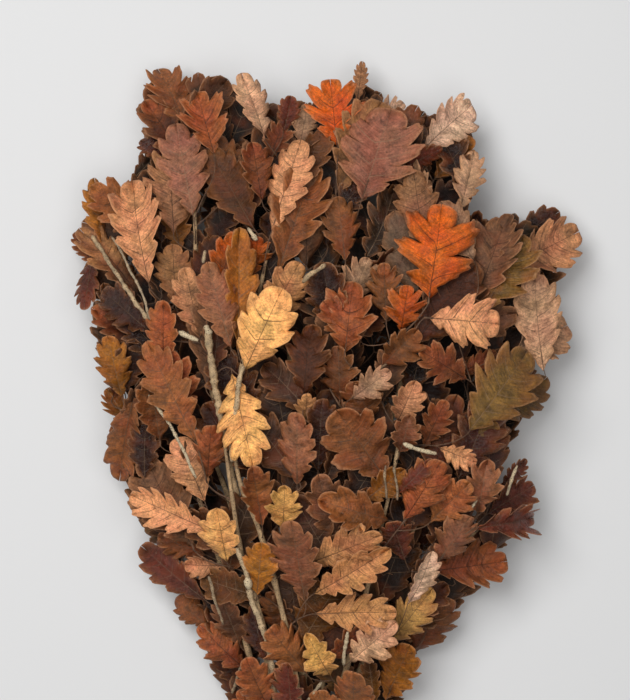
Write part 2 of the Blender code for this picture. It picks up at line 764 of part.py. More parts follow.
def stand_on_origin(bodies):
    """Move the bodies so that the middle of their box is over the origin."""
    corners = [v.co for body in bodies for v in body.data.vertices]
    low = [min(c[k] for c in corners) for k in range(3)]
    high = [max(c[k] for c in corners) for k in range(3)]
    shift = Vector((-(low[0] + high[0]) / 2, -(low[1] + high[1]) / 2, -low[2]))
    for body in bodies:
        body.data.transform(Matrix.Translation(shift))


def main():
    """Build the branches and the tie."""
    remove_all_objects()
    paths = [stem_path(slot, knots) for slot, knots in STEMS]
    stems = [tube_solid(path, stem_radii(path), STEM_SIDES) for path in paths]
    blades = place_blades(stems)
    leaf = make_material("dried oak leaf", (0.30, 0.105, 0.035), 0.62)
    twine = make_material("jute twine", (0.42, 0.29, 0.15), 0.9)
    bodies = []
    for number, solids in enumerate(grow(stems, paths, blades), 1):
        bodies.append(fuse(f"oak_branch_{number:02d}", solids, leaf))
    bodies.append(fuse("twine_tie", tie_solids(), twine))
    stand_on_origin(bodies)


main()
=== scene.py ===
"""The looks of a bunch of dried oak branches, laid out as an add-on and run as a script.

The branches are laid out by the rule that their solids follow, so each fine leaf lies where its
plain blade lies. Places are in picture pixels, seen from straight above, and lengths in metres.
"""

import functools
import math
import random
from collections import namedtuple

import bmesh
import bpy
import numpy as np
from bpy.props import FloatProperty, FloatVectorProperty, IntProperty, PointerProperty
from bpy.types import Operator, Panel, PropertyGroup
from mathutils import Matrix, Vector, noise
from mathutils.bvhtree import BVHTree


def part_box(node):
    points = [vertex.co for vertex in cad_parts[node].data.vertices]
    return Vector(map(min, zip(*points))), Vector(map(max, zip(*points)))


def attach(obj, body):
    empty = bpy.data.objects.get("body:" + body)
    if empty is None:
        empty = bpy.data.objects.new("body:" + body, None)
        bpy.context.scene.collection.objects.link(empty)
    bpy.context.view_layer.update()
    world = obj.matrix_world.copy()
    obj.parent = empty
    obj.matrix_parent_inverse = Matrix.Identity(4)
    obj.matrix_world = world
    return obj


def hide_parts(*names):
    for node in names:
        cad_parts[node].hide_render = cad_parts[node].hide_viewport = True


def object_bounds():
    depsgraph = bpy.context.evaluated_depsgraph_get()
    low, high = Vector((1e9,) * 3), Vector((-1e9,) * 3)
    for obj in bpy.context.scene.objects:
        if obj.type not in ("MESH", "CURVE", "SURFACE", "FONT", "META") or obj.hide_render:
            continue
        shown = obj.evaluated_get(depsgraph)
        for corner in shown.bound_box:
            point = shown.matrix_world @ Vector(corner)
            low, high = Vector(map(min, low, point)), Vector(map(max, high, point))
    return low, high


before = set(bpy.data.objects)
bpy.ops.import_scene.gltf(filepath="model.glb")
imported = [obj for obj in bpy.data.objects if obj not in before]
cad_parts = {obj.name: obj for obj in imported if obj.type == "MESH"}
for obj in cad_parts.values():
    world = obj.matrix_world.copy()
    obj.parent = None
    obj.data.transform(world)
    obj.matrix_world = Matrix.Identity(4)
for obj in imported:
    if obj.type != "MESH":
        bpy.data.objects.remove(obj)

CAD_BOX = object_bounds()

bl_info = {
    "name": "Dried Oak Bunch",
    "version": (1, 0, 0),
    "blender": (4, 5, 0),
    "location": "3D View > Sidebar > Oak Bunch",
    "description": "Leaves, wood, twine and stage for a bunch of dried oak branches",
    "category": "Add Mesh",
}

# The view from above
PIXEL = 0.001
EYE_HEIGHT = 2.6
PICTURE_LEVEL = 0.10
PICTURE_MIDDLE = (315.0, 350.0)
PICTURE_HEIGHT = 0.70

# Leaves, as in the solids
BLADE_THICKNESS = 0.00075
STALK_THICKNESS = 0.0015
STALK_HALF_WIDTH = 0.0011
STALK_LENGTH = 0.006
STALK_RISE = 0.0024
LEAF_LENGTH = (0.078, 0.104)
LEAF_SLENDERNESS = (0.50, 0.64)
LEAF_CAMBER = (-0.004, 0.010)
LAYER_DEPTHS = (0.0, 0.014, 0.030, 0.050)
BASE_DROP = 0.018

# Branches and the tie, as in the solids. The stems run straight through the tie between the two
# values of STEM_HELD and splay to the cut ends. A twig may turn from its parent and towards its
# leaf no further than the two cosines of TWIG_TURNS, and TURN_COSTS says what a turn costs
STEM_RADIUS = 0.0039
STEM_TIP_RADIUS = 0.0014
STEM_SIDES = 6
STEM_STEP = 0.058
TWIG_HALF_WIDTH = 0.0010
TWIG_ROOT_HALF_WIDTH = 0.0006
TWIG_STEP = 0.034
TWIG_REACH = 0.150
TWIG_LEAN = 0.25
STEM_BARE = 0.05
STEM_TAPER = 0.8
STEM_HELD = (-0.010, 0.012)
STEM_SPLAY = 1.35
TWIG_BARE = 0.012
SHORTEST_TWIG = 0.004
TWIG_TURNS = (0.05, -0.3)
TURN_COSTS = (0.8, 0.6)
JOINT_STEP = 0.009
JOINT_TRIES = 120
CROWDING = 0.03
CURVE_PARTS = 8
TIE_PIXEL = (305.0, 795.0)
CUT_END_PIXEL = 862.0
STEM_GAP = 0.0009
TWINE_DIAMETER = 0.0026
TWINE_TURNS = 3
TWINE_GAP = 0.0004
TWINE_PITCH = 0.9
TIE_CORNERS = 18
TWINE_END_LENGTH = 0.034
LOOP_RISE = 0.00015

# Room between pieces and under the bunch, as in the solids
CLEARANCE = 0.0005
FLOOR_GAP = 0.0015
FLOOR_SLACK = 0.99
RAISE_STEP = 0.003
SEED = 11

# The heap of leaves, row by row: pixel row, its left edge, its right edge, the thickness in metres
HEAP_ROWS = (
    (60, 150, 370, 0.085),
    (100, 142, 478, 0.110),
    (200, 92, 560, 0.150),
    (300, 80, 562, 0.178),
    (400, 107, 545, 0.182),
    (500, 125, 538, 0.165),
    (600, 178, 490, 0.130),
    (700, 232, 402, 0.085),
    (795, 285, 325, 0.036),
)
EDGE_LEVEL = 0.35

# Main stems: place in the tie as column and row of a honeycomb, then pixel column, pixel row
# and height in metres from the tie to the tip
STEMS = (
    ((-1.0, 0), ((268, 700, 0.022), (226, 622, 0.036), (186, 578, 0.048), (156, 552, 0.050))),
    ((-1.5, 1), ((264, 700, 0.040), (232, 600, 0.060), (206, 520, 0.076), (176, 435, 0.090),
                 (148, 395, 0.084))),
    ((-0.5, 1), ((291, 700, 0.038), (254, 570, 0.050), (214, 460, 0.058), (182, 385, 0.064),
                 (152, 324, 0.072), (131, 296, 0.074), (102, 246, 0.070))),
    ((-1.0, 2), ((275, 700, 0.057), (254, 590, 0.080), (232, 470, 0.098), (207, 370, 0.100),
                 (196, 290, 0.104), (196, 225, 0.098), (188, 150, 0.082))),
    ((-0.5, 3), ((276, 700, 0.072), (265, 624, 0.098), (249, 583, 0.112), (238, 535, 0.124),
                 (224, 439, 0.142), (215, 380, 0.148), (207, 330, 0.150))),
    ((0.5, 3), ((299, 700, 0.075), (282, 610, 0.100), (256, 520, 0.122), (233, 454, 0.132),
                (240, 375, 0.146), (258, 300, 0.138), (268, 250, 0.128))),
    ((0.0, 2), ((304, 700, 0.055), (300, 590, 0.076), (294, 450, 0.094), (288, 330, 0.104),
                (280, 250, 0.106), (278, 175, 0.092), (290, 130, 0.080))),
    ((0.0, 0), ((306, 700, 0.022), (318, 570, 0.042), (332, 430, 0.056), (340, 310, 0.066),
                (358, 215, 0.080), (372, 150, 0.078))),
    ((0.5, 1), ((319, 700, 0.038), (346, 590, 0.064), (380, 460, 0.086), (408, 360, 0.098),
                (428, 298, 0.104), (462, 262, 0.092), (508, 246, 0.076))),
    ((1.5, 1), ((350, 700, 0.040), (384, 600, 0.058), (424, 505, 0.074), (458, 430, 0.080),
                (492, 388, 0.076), (524, 348, 0.066))),
    ((1.0, 0), ((340, 700, 0.022), (384, 632, 0.038), (428, 582, 0.052), (466, 540, 0.058),
                (500, 508, 0.054))),
    ((1.0, 2), ((338, 700, 0.058), (344, 670, 0.074), (356, 632, 0.092), (374, 560, 0.112),
                (392, 480, 0.122), (402, 425, 0.124))),
)

# Leaves that lie flat on the surface: pixels of the blade's base and tip, width in metres
RESTING_LEAVES = (
    (168, 470, 128, 398, 0.050),
    (476, 470, 512, 398, 0.050),
    (236, 246, 206, 168, 0.050),
    (412, 250, 446, 172, 0.050),
    (268, 640, 238, 575, 0.044),
)

# Where a row of the next table holds the tip's pixel row and the layer
TIP_FIELD = 3
LAYER_FIELD = 5

# Leaves seen from above: pixels of the blade's base and tip, width in metres, layer of depth,
# turn about the midrib in degrees, tone
SEEN_LEAVES = (
    (185, 123, 158, 64, 0.052, 1, 10, "brown"),
    (214, 154, 197, 92, 0.058, 0, 0, "rust"),
    (265, 140, 241, 75, 0.036, 1, 30, "beige"),
    (193, 215, 176, 124, 0.050, 0, 5, "umber"),
    (170, 162, 141, 140, 0.026, 2, 20, "maroon"),
    (149, 283, 129, 176, 0.056, 0, -5, "salmon"),
    (180, 250, 168, 190, 0.038, 2, 0, "ochre"),
    (104, 248, 93, 180, 0.030, 1, 50, "ochre"),
    (104, 266, 75, 236, 0.026, 2, 30, "rust"),
    (92, 258, 86, 312, 0.028, 1, 15, "maroon"),
    (235, 210, 215, 134, 0.042, 2, 0, "brown"),
    (238, 350, 236, 228, 0.036, 0, 20, "ochre"),
    (250, 276, 259, 236, 0.032, 1, 0, "orange"),
    (337, 145, 330, 79, 0.060, 0, 0, "orange"),
    (357, 102, 362, 64, 0.016, 2, 0, "salmon"),
    (362, 199, 391, 110, 0.085, 0, 0, "umber"),
    (425, 148, 472, 106, 0.046, 1, -10, "pink"),
    (372, 130, 404, 103, 0.036, 2, 0, "pink"),
    (272, 231, 300, 137, 0.040, 0, -8, "salmon"),
    (279, 269, 316, 161, 0.062, 1, 0, "brown"),
    (270, 158, 284, 122, 0.032, 2, 0, "rust"),
    (300, 146, 308, 104, 0.026, 2, 0, "beige"),
    (283, 132, 292, 96, 0.022, 1, 25, "maroon"),
    (402, 170, 442, 148, 0.024, 1, 15, "maroon"),
    (428, 212, 404, 160, 0.042, 2, 0, "beige"),
    (460, 210, 476, 149, 0.032, 1, 15, "beige"),
    (436, 178, 470, 138, 0.032, 2, 0, "ochre"),
    (429, 298, 443, 203, 0.082, 0, 0, "orange"),
    (508, 268, 580, 231, 0.055, 1, 0, "salmon"),
    (485, 309, 525, 232, 0.062, 0, 0, "olive"),
    (401, 330, 408, 287, 0.042, 1, 0, "orange"),
    (430, 318, 501, 324, 0.055, 0, 0, "salmon"),
    (466, 379, 420, 350, 0.042, 1, 0, "rust"),
    (455, 374, 497, 352, 0.024, 2, 20, "rust"),
    (383, 365, 418, 330, 0.040, 1, 0, "brown"),
    (515, 350, 564, 327, 0.050, 1, 0, "beige"),
    (470, 430, 530, 350, 0.068, 0, 0, "olive"),
    (461, 443, 499, 425, 0.036, 1, 0, "olive"),
    (440, 448, 477, 463, 0.026, 0, 0, "salmon"),
    (477, 511, 488, 457, 0.042, 0, 0, "mauve"),
    (489, 513, 534, 485, 0.042, 1, 0, "maroon"),
    (500, 488, 526, 459, 0.018, 2, 0, "maroon"),
    (475, 527, 540, 517, 0.046, 0, 0, "maroon"),
    (438, 560, 471, 515, 0.042, 0, 0, "mauve"),
    (412, 560, 435, 527, 0.032, 1, 0, "rust"),
    (405, 518, 442, 459, 0.046, 0, 0, "rust"),
    (400, 452, 411, 413, 0.030, 1, 0, "mauve"),
    (424, 446, 446, 400, 0.032, 1, 0, "rust"),
    (309, 563, 383, 534, 0.042, 0, 0, "tan"),
    (315, 593, 389, 550, 0.040, 0, 0, "tan"),
    (316, 614, 398, 611, 0.044, 0, 0, "tan"),
    (407, 604, 432, 550, 0.026, 0, 35, "pink"),
    (432, 571, 504, 561, 0.050, 1, 0, "rust"),
    (388, 642, 432, 590, 0.042, 1, 0, "khaki"),
    (412, 652, 450, 600, 0.046, 2, 0, "brown"),
    (350, 660, 395, 622, 0.040, 0, 0, "beige"),
    (386, 700, 410, 646, 0.046, 0, 0, "ochre"),
    (330, 675, 306, 633, 0.034, 0, 0, "khaki"),
    (346, 712, 345, 678, 0.028, 1, 0, "rust"),
    (206, 600, 140, 545, 0.036, 1, 0, "maroon"),
    (206, 555, 158, 535, 0.032, 2, 0, "brown"),
    (209, 530, 133, 495, 0.046, 0, 0, "salmon"),
    (222, 566, 184, 565, 0.028, 1, 0, "salmon"),
    (227, 561, 216, 505, 0.040, 0, 0, "golden"),
    (245, 668, 199, 625, 0.036, 1, 0, "rust"),
    (208, 626, 176, 598, 0.030, 1, 0, "brown"),
    (305, 600, 290, 515, 0.054, 0, 0, "mauve"),
    (136, 388, 119, 482, 0.034, 1, 10, "brown"),
    (122, 396, 108, 334, 0.036, 1, 0, "ochre"),
    (130, 428, 108, 388, 0.032, 2, 0, "ochre"),
    (195, 440, 147, 341, 0.044, 0, 0, "brown"),
    (208, 476, 212, 423, 0.038, 1, 0, "rust"),
    (232, 374, 253, 467, 0.048, 0, 0, "golden"),
    (283, 528, 285, 488, 0.040, 0, 0, "khaki"),
    (245, 370, 282, 289, 0.054, 0, 0, "golden"),
    (231, 347, 208, 262, 0.040, 0, 0, "mauve"),
    (200, 337, 185, 267, 0.038, 1, 0, "salmon"),
    (176, 304, 172, 244, 0.036, 2, 0, "tan"),
    (164, 366, 163, 301, 0.032, 0, 0, "rust"),
    (150, 332, 100, 288, 0.038, 1, 0, "dark"),
    (345, 352, 353, 282, 0.056, 0, 0, "rust"),
    (340, 400, 338, 345, 0.040, 2, 0, "brown"),
    (352, 398, 391, 370, 0.034, 1, 0, "beige"),
    (350, 302, 368, 258, 0.040, 2, 0, "beige"),
    (297, 484, 297, 411, 0.038, 0, 0, "mauve"),
    (306, 430, 307, 393, 0.024, 1, 0, "tan"),
    (306, 670, 270, 626, 0.042, 1, 0, "brown"),
    (262, 728, 240, 688, 0.036, 0, 0, "rust"),
    (292, 712, 288, 662, 0.042, 1, 0, "maroon"),
    (268, 702, 246, 652, 0.038, 1, 0, "rust"),
    (290, 640, 272, 592, 0.038, 2, 0, "brown"),
    (258, 590, 262, 544, 0.034, 2, 0, "ochre"),
    (240, 642, 222, 598, 0.034, 2, 0, "mauve"),
    (332, 735, 318, 690, 0.036, 1, 0, "brown"),
    (372, 738, 374, 690, 0.036, 2, 0, "ochre"),
    (385, 478, 338, 412, 0.060, 1, 0, "brown"),
    (338, 540, 318, 474, 0.042, 1, 0, "mauve"),
    (388, 520, 318, 500, 0.046, 1, 0, "brown"),
    (398, 492, 432, 460, 0.018, 0, 0, "maroon"),
    (405, 560, 392, 522, 0.034, 1, 0, "maroon"),
    (398, 420, 416, 380, 0.034, 1, 0, "salmon"),
    (372, 420, 352, 378, 0.040, 2, 0, "brown"),
)

# Further leaves seen from above, which only the looks have, in the same order of values
COVER_LEAVES = (
    (286, 606, 268, 536, 0.038, 0, 0, "brown"),
    (262, 524, 252, 462, 0.040, 0, 0, "brown"),
    (298, 664, 282, 604, 0.038, 0, 0, "rust"),
    (228, 505, 215, 438, 0.048, 0, 0, "ochre"),
    (274, 548, 262, 478, 0.042, 0, 0, "brown"),
    (232, 652, 226, 590, 0.038, 1, 0, "rust"),
    (300, 692, 292, 622, 0.046, 0, 0, "brown"),
    (318, 740, 300, 684, 0.042, 0, 0, "rust"),
    (296, 600, 274, 548, 0.040, 1, 0, "brown"),
    (354, 725, 352, 662, 0.040, 1, 0, "brown"),
    (240, 470, 196, 420, 0.040, 1, 0, "brown"),
    (204, 500, 178, 440, 0.042, 1, 0, "salmon"),
    (410, 500, 388, 440, 0.040, 1, 0, "brown"),
    (370, 560, 402, 500, 0.038, 1, 0, "brown"),
    (366, 500, 404, 470, 0.036, 1, 0, "ochre"),
    (430, 520, 470, 480, 0.040, 1, 0, "brown"),
    (455, 600, 470, 545, 0.042, 1, 0, "rust"),
    (335, 330, 322, 262, 0.040, 2, 0, "dark"),
    (318, 470, 322, 400, 0.040, 2, 0, "dark"),
    (262, 330, 300, 262, 0.038, 1, 0, "tan"),
    (214, 300, 236, 232, 0.036, 1, 0, "orange"),
    (190, 420, 168, 350, 0.040, 1, 0, "rust"),
    (160, 440, 150, 372, 0.038, 1, 0, "brown"),
    (168, 480, 124, 440, 0.036, 1, 0, "tan"),
    (312, 215, 330, 150, 0.036, 2, 0, "brown"),
    (262, 200, 252, 142, 0.036, 1, 0, "rust"),
    (345, 260, 338, 196, 0.040, 1, 0, "brown"),
    (400, 250, 420, 190, 0.040, 1, 0, "tan"),
    (386, 320, 384, 262, 0.038, 1, 0, "brown"),
    (360, 340, 322, 300, 0.036, 1, 0, "rust"),
    (470, 350, 448, 300, 0.038, 1, 0, "rust"),
    (500, 420, 548, 376, 0.040, 2, 0, "olive"),
    (420, 420, 452, 372, 0.038, 1, 0, "rust"),
)

# The bunch's edge as seen from above, in pixels, from the lower left round by the top
EDGE_PIXELS = (
    (236, 760), (228, 700), (198, 628), (142, 548), (133, 498), (114, 470), (106, 420), (104, 348),
    (84, 314), (74, 240), (92, 182), (130, 176), (152, 190), (140, 142), (142, 78), (160, 64),
    (195, 66), (240, 76), (275, 108), (312, 88), (362, 66), (396, 108), (441, 98), (479, 117),
    (480, 170), (464, 204), (500, 214), (560, 204), (580, 232), (552, 264), (564, 326), (540, 392),
    (494, 446), (532, 482), (538, 520), (504, 560), (452, 612), (418, 665), (402, 760),
)
BUNCH_MIDDLE = (310.0, 430.0)
EDGE_TRIES = 14
EDGE_PULL = 0.07
SHOULDER_PLACE = 0.5
SHOULDER_REACH = 0.8

# Leaves between those, in three sheets: pixels between leaves, place through the heap from 0 at
# the underside to 1 at the top, and the way a leaf moves to find room
SHEETS = ((102, 0.82, -1), (160, 0.45, 1), (126, 0.06, 1))
SHEET_JITTER = 0.24
SHEET_ROWS = (110, 730)
SHEET_MARGIN = 18
FAN_PIXEL = (305.0, 900.0)
FAN_SPREAD = math.radians(32)
SHEET_ROLL = 22
SHEET_TRIES = 9
SEEN_TRIES = 22

# Leaves that only the looks have, in further sheets of the same kind
FILLER_SHEETS = ((48, 0.90, -1), (52, 0.76, -1), (60, 0.58, -1), (66, 0.40, 1), (72, 0.20, 1))
FILLER_JOINT_TRIES = 14
FILLER_LENGTH = (0.052, 0.088)
FILLER_SPREAD = math.radians(62)

# Leaves under the places where the surface would show: pixels between tests, how far a leaf
# stands from the spot as a share of its length, and its place in the heap at each pass
SPOT_STEP = 9
SPOT_OFFSET = 0.1
SPOT_SHARES = (0.55, 0.30, 0.75, 0.15)

# Sticks that lie bare on top: branch, radius in metres, how far the bark is peeled off from 0
# to 1, and pixel column, pixel row and depth under the heap's top from one end to the other
STICKS = (
    (5, 0.0027, 0.35, ((237, 547, 0.006), (249, 583, 0.0), (251, 598, 0.0), (270, 650, 0.0),
                       (274, 695, 0.008))),
    (5, 0.0034, 0.9, ((247, 577, -0.001), (250, 590, -0.001))),
    (5, 0.0016, 0.6, ((249, 679, 0.0), (267, 692, 0.006))),
    (5, 0.0015, 0.3, ((208, 577, 0.0), (223, 625, 0.006))),
    (5, 0.0015, 0.3, ((230, 700, 0.006), (242, 663, 0.0))),
    (6, 0.0015, 0.5, ((308, 700, 0.006), (322, 682, 0.0))),
    (8, 0.0020, 0.9, ((343, 665, 0.006), (347, 632, 0.0))),
    (2, 0.0016, 0.85, ((196, 477, 0.010), (176, 435, 0.0), (148, 395, 0.0))),
    (3, 0.0021, 0.25, ((156, 332, 0.010), (131, 296, 0.0), (92, 236, 0.0))),
    (3, 0.0013, 0.50, ((152, 324, 0.008), (140, 290, 0.0), (112, 236, 0.002))),
    (5, 0.0033, 0.15, ((226, 444, 0.020), (214, 380, 0.006), (207, 330, 0.002))),
    (5, 0.0040, 0.65, ((209, 334, 0.001), (206, 326, 0.001))),
    (6, 0.0026, 0.25, ((231, 462, 0.018), (237, 400, 0.008), (243, 366, 0.006))),
    (5, 0.0024, 0.95, ((199, 341, 0.004), (188, 337, 0.0), (179, 331, 0.001))),
    (7, 0.0023, 0.8, ((256, 240, 0.002), (248, 228, 0.0))),
    (8, 0.0022, 0.15, ((302, 283, 0.006), (314, 272, 0.0), (326, 264, 0.0))),
    (12, 0.0021, 1.0, ((404, 443, 0.001), (420, 449, 0.0), (437, 454, 0.001))),
    (9, 0.0012, 0.2, ((386, 500, 0.006), (385, 465, 0.0))),
    (9, 0.0012, 0.3, ((398, 500, 0.006), (394, 468, 0.0))),
    (11, 0.0014, 0.8, ((506, 495, 0.004), (517, 466, 0.0))),
    (11, 0.0016, 0.9, ((470, 512, 0.002), (476, 500, 0.0))),
    (8, 0.0017, 0.4, ((205, 250, 0.010), (203, 262, 0.002))),
)

# Sticks: greatest height, half width that is kept clear above, distance between bends, size of a
# bend, distance between rings, the width at the ends and how fast it grows from there, the knobs
# and how close they follow each other, the spread of the width, and how pale the first ring and
# the rest turn where all the bark is off
STICK_TOP = 0.1755
STICK_STRIP = 0.006
STICK_BEND_STEP = 0.012
STICK_BEND = 0.0009
STICK_STEP = 0.0018
STICK_END = (0.55, 0.3)
STICK_KNOBS = 0.5
STICK_KNOB_RATE = 260
STICK_SPREAD = (0.9, 1.1)
STICK_CUT = 0.8
STICK_PEEL = 0.7

# Places on a leaf, along and across, where it may hide what is to be seen, and how many of them
# may do so
HIDE_ALONG = (0.05, 0.3, 0.55, 0.8, 1.0)
HIDE_ACROSS = (-0.3, 0, 0.3)
HIDE_LIMIT = 2

# A plain blade's outline: share of the length, half width as a share of the full width
LOBES = ((0.0, 0.06), (0.20, 0.26), (0.28, 0.13), (0.47, 0.42), (0.56, 0.21), (0.76, 0.50),
         (1.0, 0.17))
LOBE_SKEW = 0.05

# Tones of the dried leaves: colour, how pale the veins are from 0 to 1, and roughness
TONES = {
    "rust": ("#8E4A24", 0.0, 0.40),
    "orange": ("#BE5610", 0.0, 0.38),
    "salmon": ("#DC9868", 0.0, 0.50),
    "tan": ("#BC8250", 0.0, 0.50),
    "golden": ("#F4B468", 0.0, 0.50),
    "pink": ("#FACAA6", 0.1, 0.52),
    "beige": ("#CC9C76", 0.2, 0.54),
    "mauve": ("#825034", 0.35, 0.38),
    "umber": ("#8A5640", 0.5, 0.40),
    "maroon": ("#602A1A", 0.25, 0.24),
    "brown": ("#8E5228", 0.2, 0.40),
    "ochre": ("#9C5E18", 0.4, 0.38),
    "olive": ("#70501F", 0.4, 0.38),
    "khaki": ("#C4924E", 0.1, 0.50),
    "dark": ("#38190E", 0.2, 0.22),
}

# Tones of the leaves in between: pixels within which a seen leaf may lend its tone, and how often
FILLER_TONES = ("brown", "brown", "rust", "rust", "mauve", "maroon", "ochre", "salmon", "tan")
TONE_REACH = 60
TONE_LIKENESS = 0.6

# Painted shade: leaves are painted darker by depth in metres under the heap's top. The three values
# of the others are for leaves deep inside, between and seen from above: how much of that painted
# shade they take, how far their lightness varies at random, and its middle, which is painted light
INNER_DEPTHS = (0.010, 0.024, 0.048, 0.09)
PAINTED_INNER_SHADES = (1.0, 0.32, 0.06, 0.015)
SHADE_SHARES = (1.0, 0.95, 0.6)
LIGHT_SPREADS = (0.30, 0.30, 0.16)
PAINTED_LIGHT_LEVELS = (0.92, 1.0, 1.20)

# A leaf's shape: lobes on a side, the power that rounds them, the blade's half width at its widest
# as a share of the full width, the slenderness of a leaf with the usual lobes and how far a wider
# one departs from them, the end lobe's share of the length, the lobes' direction at the tip, how
# far forward a side vein runs as a share of a lobe, and the hollow between two veins
LOBE_COUNT = (3.6, 6.0)
LOBE_ROUNDNESS = 0.65
LEAF_FULLNESS = 0.64
USUAL_SLENDERNESS = 0.55
WIDE_LOBING = 0.7
TIP_LOBE = 0.12
LOBE_FAN = math.radians(88)
VEIN_SLANT = 0.35
VEIN_HOLLOW = 0.0008

# The blade inside its lobes: the deepest that lobes may cut it as a share of its width, its start
# at the stalk, the power that narrows it to the tip and the height that scales it to 1. Then how
# evenly the lobes are spaced, how soon they reach their full length from the stalk, and how far
# the two sides are out of step
DEEPEST_LOBES = 0.72
BODY_START = 0.01
BODY_BEND = 0.4
BODY_PEAK = 0.433
LOBE_SPACING = 0.92
LOBE_GROWTH = 1.1
SIDE_PHASE = 0.4

# Two waves that make the lobes uneven and notched: size, and rate as a multiple of the leaf's own
UNEVEN_LOBES = (0.16, 1)
NOTCHED_LOBES = (0.10, 4.6)

# How leaves differ. Ranges of the lobes' depth, of their lean at the base in degrees and of how
# that grows to the tip, of the fold along the midrib, the edges' curl and the twist in radians, of
# the tip's rise, and of the edges' waves. Then the rise of the curl and its power, the crumples
# along a leaf and their share of the waves, where the twist and the settling begin, how dry a leaf
# looks, and how far its roughness varies
DEPTH_RANGE = (0.75, 1.25)
LEAN_RANGE = (8, 24)
BEND_RANGE = (1.5, 2.5)
FOLD_RANGE = (-0.14, 0.38)
CURL_RANGE = (-0.9, 1)
TWIST_RANGE = (-0.5, 0.5)
TIP_RANGE = (-0.14, 0.14)
RIPPLE_RANGE = (0.5, 1.3)
WAVE_RANGE = (2.0, 2.8)
CURL_SHAPE = (0.55, 1.6)
CRUMPLE_RATE = 3.1
CRUMPLE_SHARE = 0.6
TWIST_PLACE = 0.3
SETTLE_PLACE = 0.6
DRY_RANGE = (0.1, 0.75)
ROUGHNESS_SPREAD = 0.05

# Wood: sides of each kind of tube, how near to the X axis one may start before Z takes over as
# its first direction across, a stem's waves as a middle, a size and a rate, the swelling
# where a twig grows and its reach, how near another twig a root counts as on it, how much thicker
# that makes it, a twig's end, taper, spread and rise above the surface as shares of its radius,
# and its last two points on the midrib and how far below it they lie
SIDES = {"stem": 10, "twig": 6, "stick": 8, "strand": 7}
STEEPEST = 0.9
STEM_WAVES = (0.96, 0.16, 90)
SWELLING = (0.3, 0.005)
ROOT_REACH = 0.0012
CARRY_GAIN = 0.28
TWIG_TIP = 0.45
TWIG_TAPER = 0.8
TWIG_SPREAD = (0.93, 1.09)
TWIG_FLOOR = 1.1
RIB_PLACES = (0.02, 0.22)
RIB_SINK = 0.0004

# Twine: radius of a strand as a share of the whole, places in a full twist, the knot's size,
# width, waves, places round it and rise, the strand over it, and how far the ends reach and drop
STRAND_SHARE = 0.29
TWIST_PLACES = 8
KNOT_SIZE = 0.62
KNOT_WIDTH = 1.3
KNOT_WAVE = 0.0004
KNOT_PLACES = 14
KNOT_RISE = 0.4
OVER_KNOT = ((1.5, -0.5), (1.0, 0.25), (0, 0.45), (-1.0, 0.25), (-1.5, -0.5))
END_REACH = (0.75, 0.45)
END_DROP = 0.004
END_WAY = (0.8, -0.7)
END_STEP = 0.007

# The floor's half width, and the lights' places and sizes
FLOOR_SIZE = 20
KEY_LIGHT = ((-0.9, 0.9, 2.8), 1.5)
FILL_LIGHT = ((0.2, -0.1, 3.4), 2.4)

# Seeds of the leaves' own shapes and of the wood's, to which a branch adds its number
LEAF_SEED = SEED * 100
WOOD_SEED = SEED * 200

# The finish reads lengths in millimetres
MILLIMETRES = 1000

# Room left inside the bunch's box
BOX_MARGIN = 0.0004

# Columns and rows of squares in a leaf's sheet, from leaves deep inside to those seen from above,
# the sheet's depth before it is bent, and the shortest length that is divided by
SQUARES = ((6, 34), (10, 46), (12, 66))
SHEET_DEPTH = 0.1
TINY = 1e-12

# Kinds of shader node
MATH = "ShaderNodeMath"
SPREAD = "ShaderNodeMapRange"
MIX = "ShaderNodeMix"
NOISE = "ShaderNodeTexNoise"
STORED = "ShaderNodeAttribute"
BUMP = "ShaderNodeBump"
PARTS = "ShaderNodeSeparateXYZ"
SATURATION = "ShaderNodeHueSaturation"
PRODUCT = {"operation": "MULTIPLY"}
SMOOTH = {"interpolation_type": "SMOOTHSTEP"}
MIXED = {"out": 2, "data_type": "RGBA"}

Blade = namedtuple("Blade", "base axis side normal length width camber skew tone detail")
Solid = namedtuple("Solid", "points faces tree low high")
Joint = namedtuple("Joint", "place along branch part")
Branch = namedtuple("Branch", "stem leaves")
Habit = namedtuple("Habit", "lobes depth lean fold curls twist tip ripple wave")
Sheet = namedtuple("Sheet", "mesh across along top rows columns")


def seen_at(column, row, height):
    """The point seen at a pixel of the picture, at a height."""
    scale = PIXEL * (EYE_HEIGHT - height) / (EYE_HEIGHT - PICTURE_LEVEL)
    x = (column - PICTURE_MIDDLE[0]) * scale
    y = (PICTURE_MIDDLE[1] - row) * scale
    return Vector((x, y, height))


def pixel_of(point):
    """The pixel of the picture where a point is seen."""
    scale = PIXEL * (EYE_HEIGHT - point.z) / (EYE_HEIGHT - PICTURE_LEVEL)
    return PICTURE_MIDDLE[0] + point.x / scale, PICTURE_MIDDLE[1] - point.y / scale


def heap_edges(row):
    """The heap's left and right edge at a pixel row."""
    rows = [r[0] for r in HEAP_ROWS]
    return [float(np.interp(row, rows, [r[k] for r in HEAP_ROWS])) for k in (1, 2)]


def heap_level(column, row, share):
    """The height at a share of the way from the heap's underside to its top."""
    left, right = heap_edges(row)
    thickness = float(np.interp(row, [r[0] for r in HEAP_ROWS], [r[3] for r in HEAP_ROWS]))
    across = min(1.0, abs(2 * (column - left) / (right - left) - 1))
    roundness = math.sqrt(1 - across * across)
    low = thickness * EDGE_LEVEL * (1 - roundness)
    high = thickness * (EDGE_LEVEL + (1 - EDGE_LEVEL) * roundness)
    return low + (high - low) * share


def inside_edge(column, row):
    """Whether a pixel lies inside the bunch's edge."""
    inside = False
    for (u, v), (next_u, next_v) in zip(EDGE_PIXELS, EDGE_PIXELS[1:] + EDGE_PIXELS[:1]):
        if (v > row) != (next_v > row) and column < u + (row - v) * (next_u - u) / (next_v - v):
            inside = not inside
    return inside


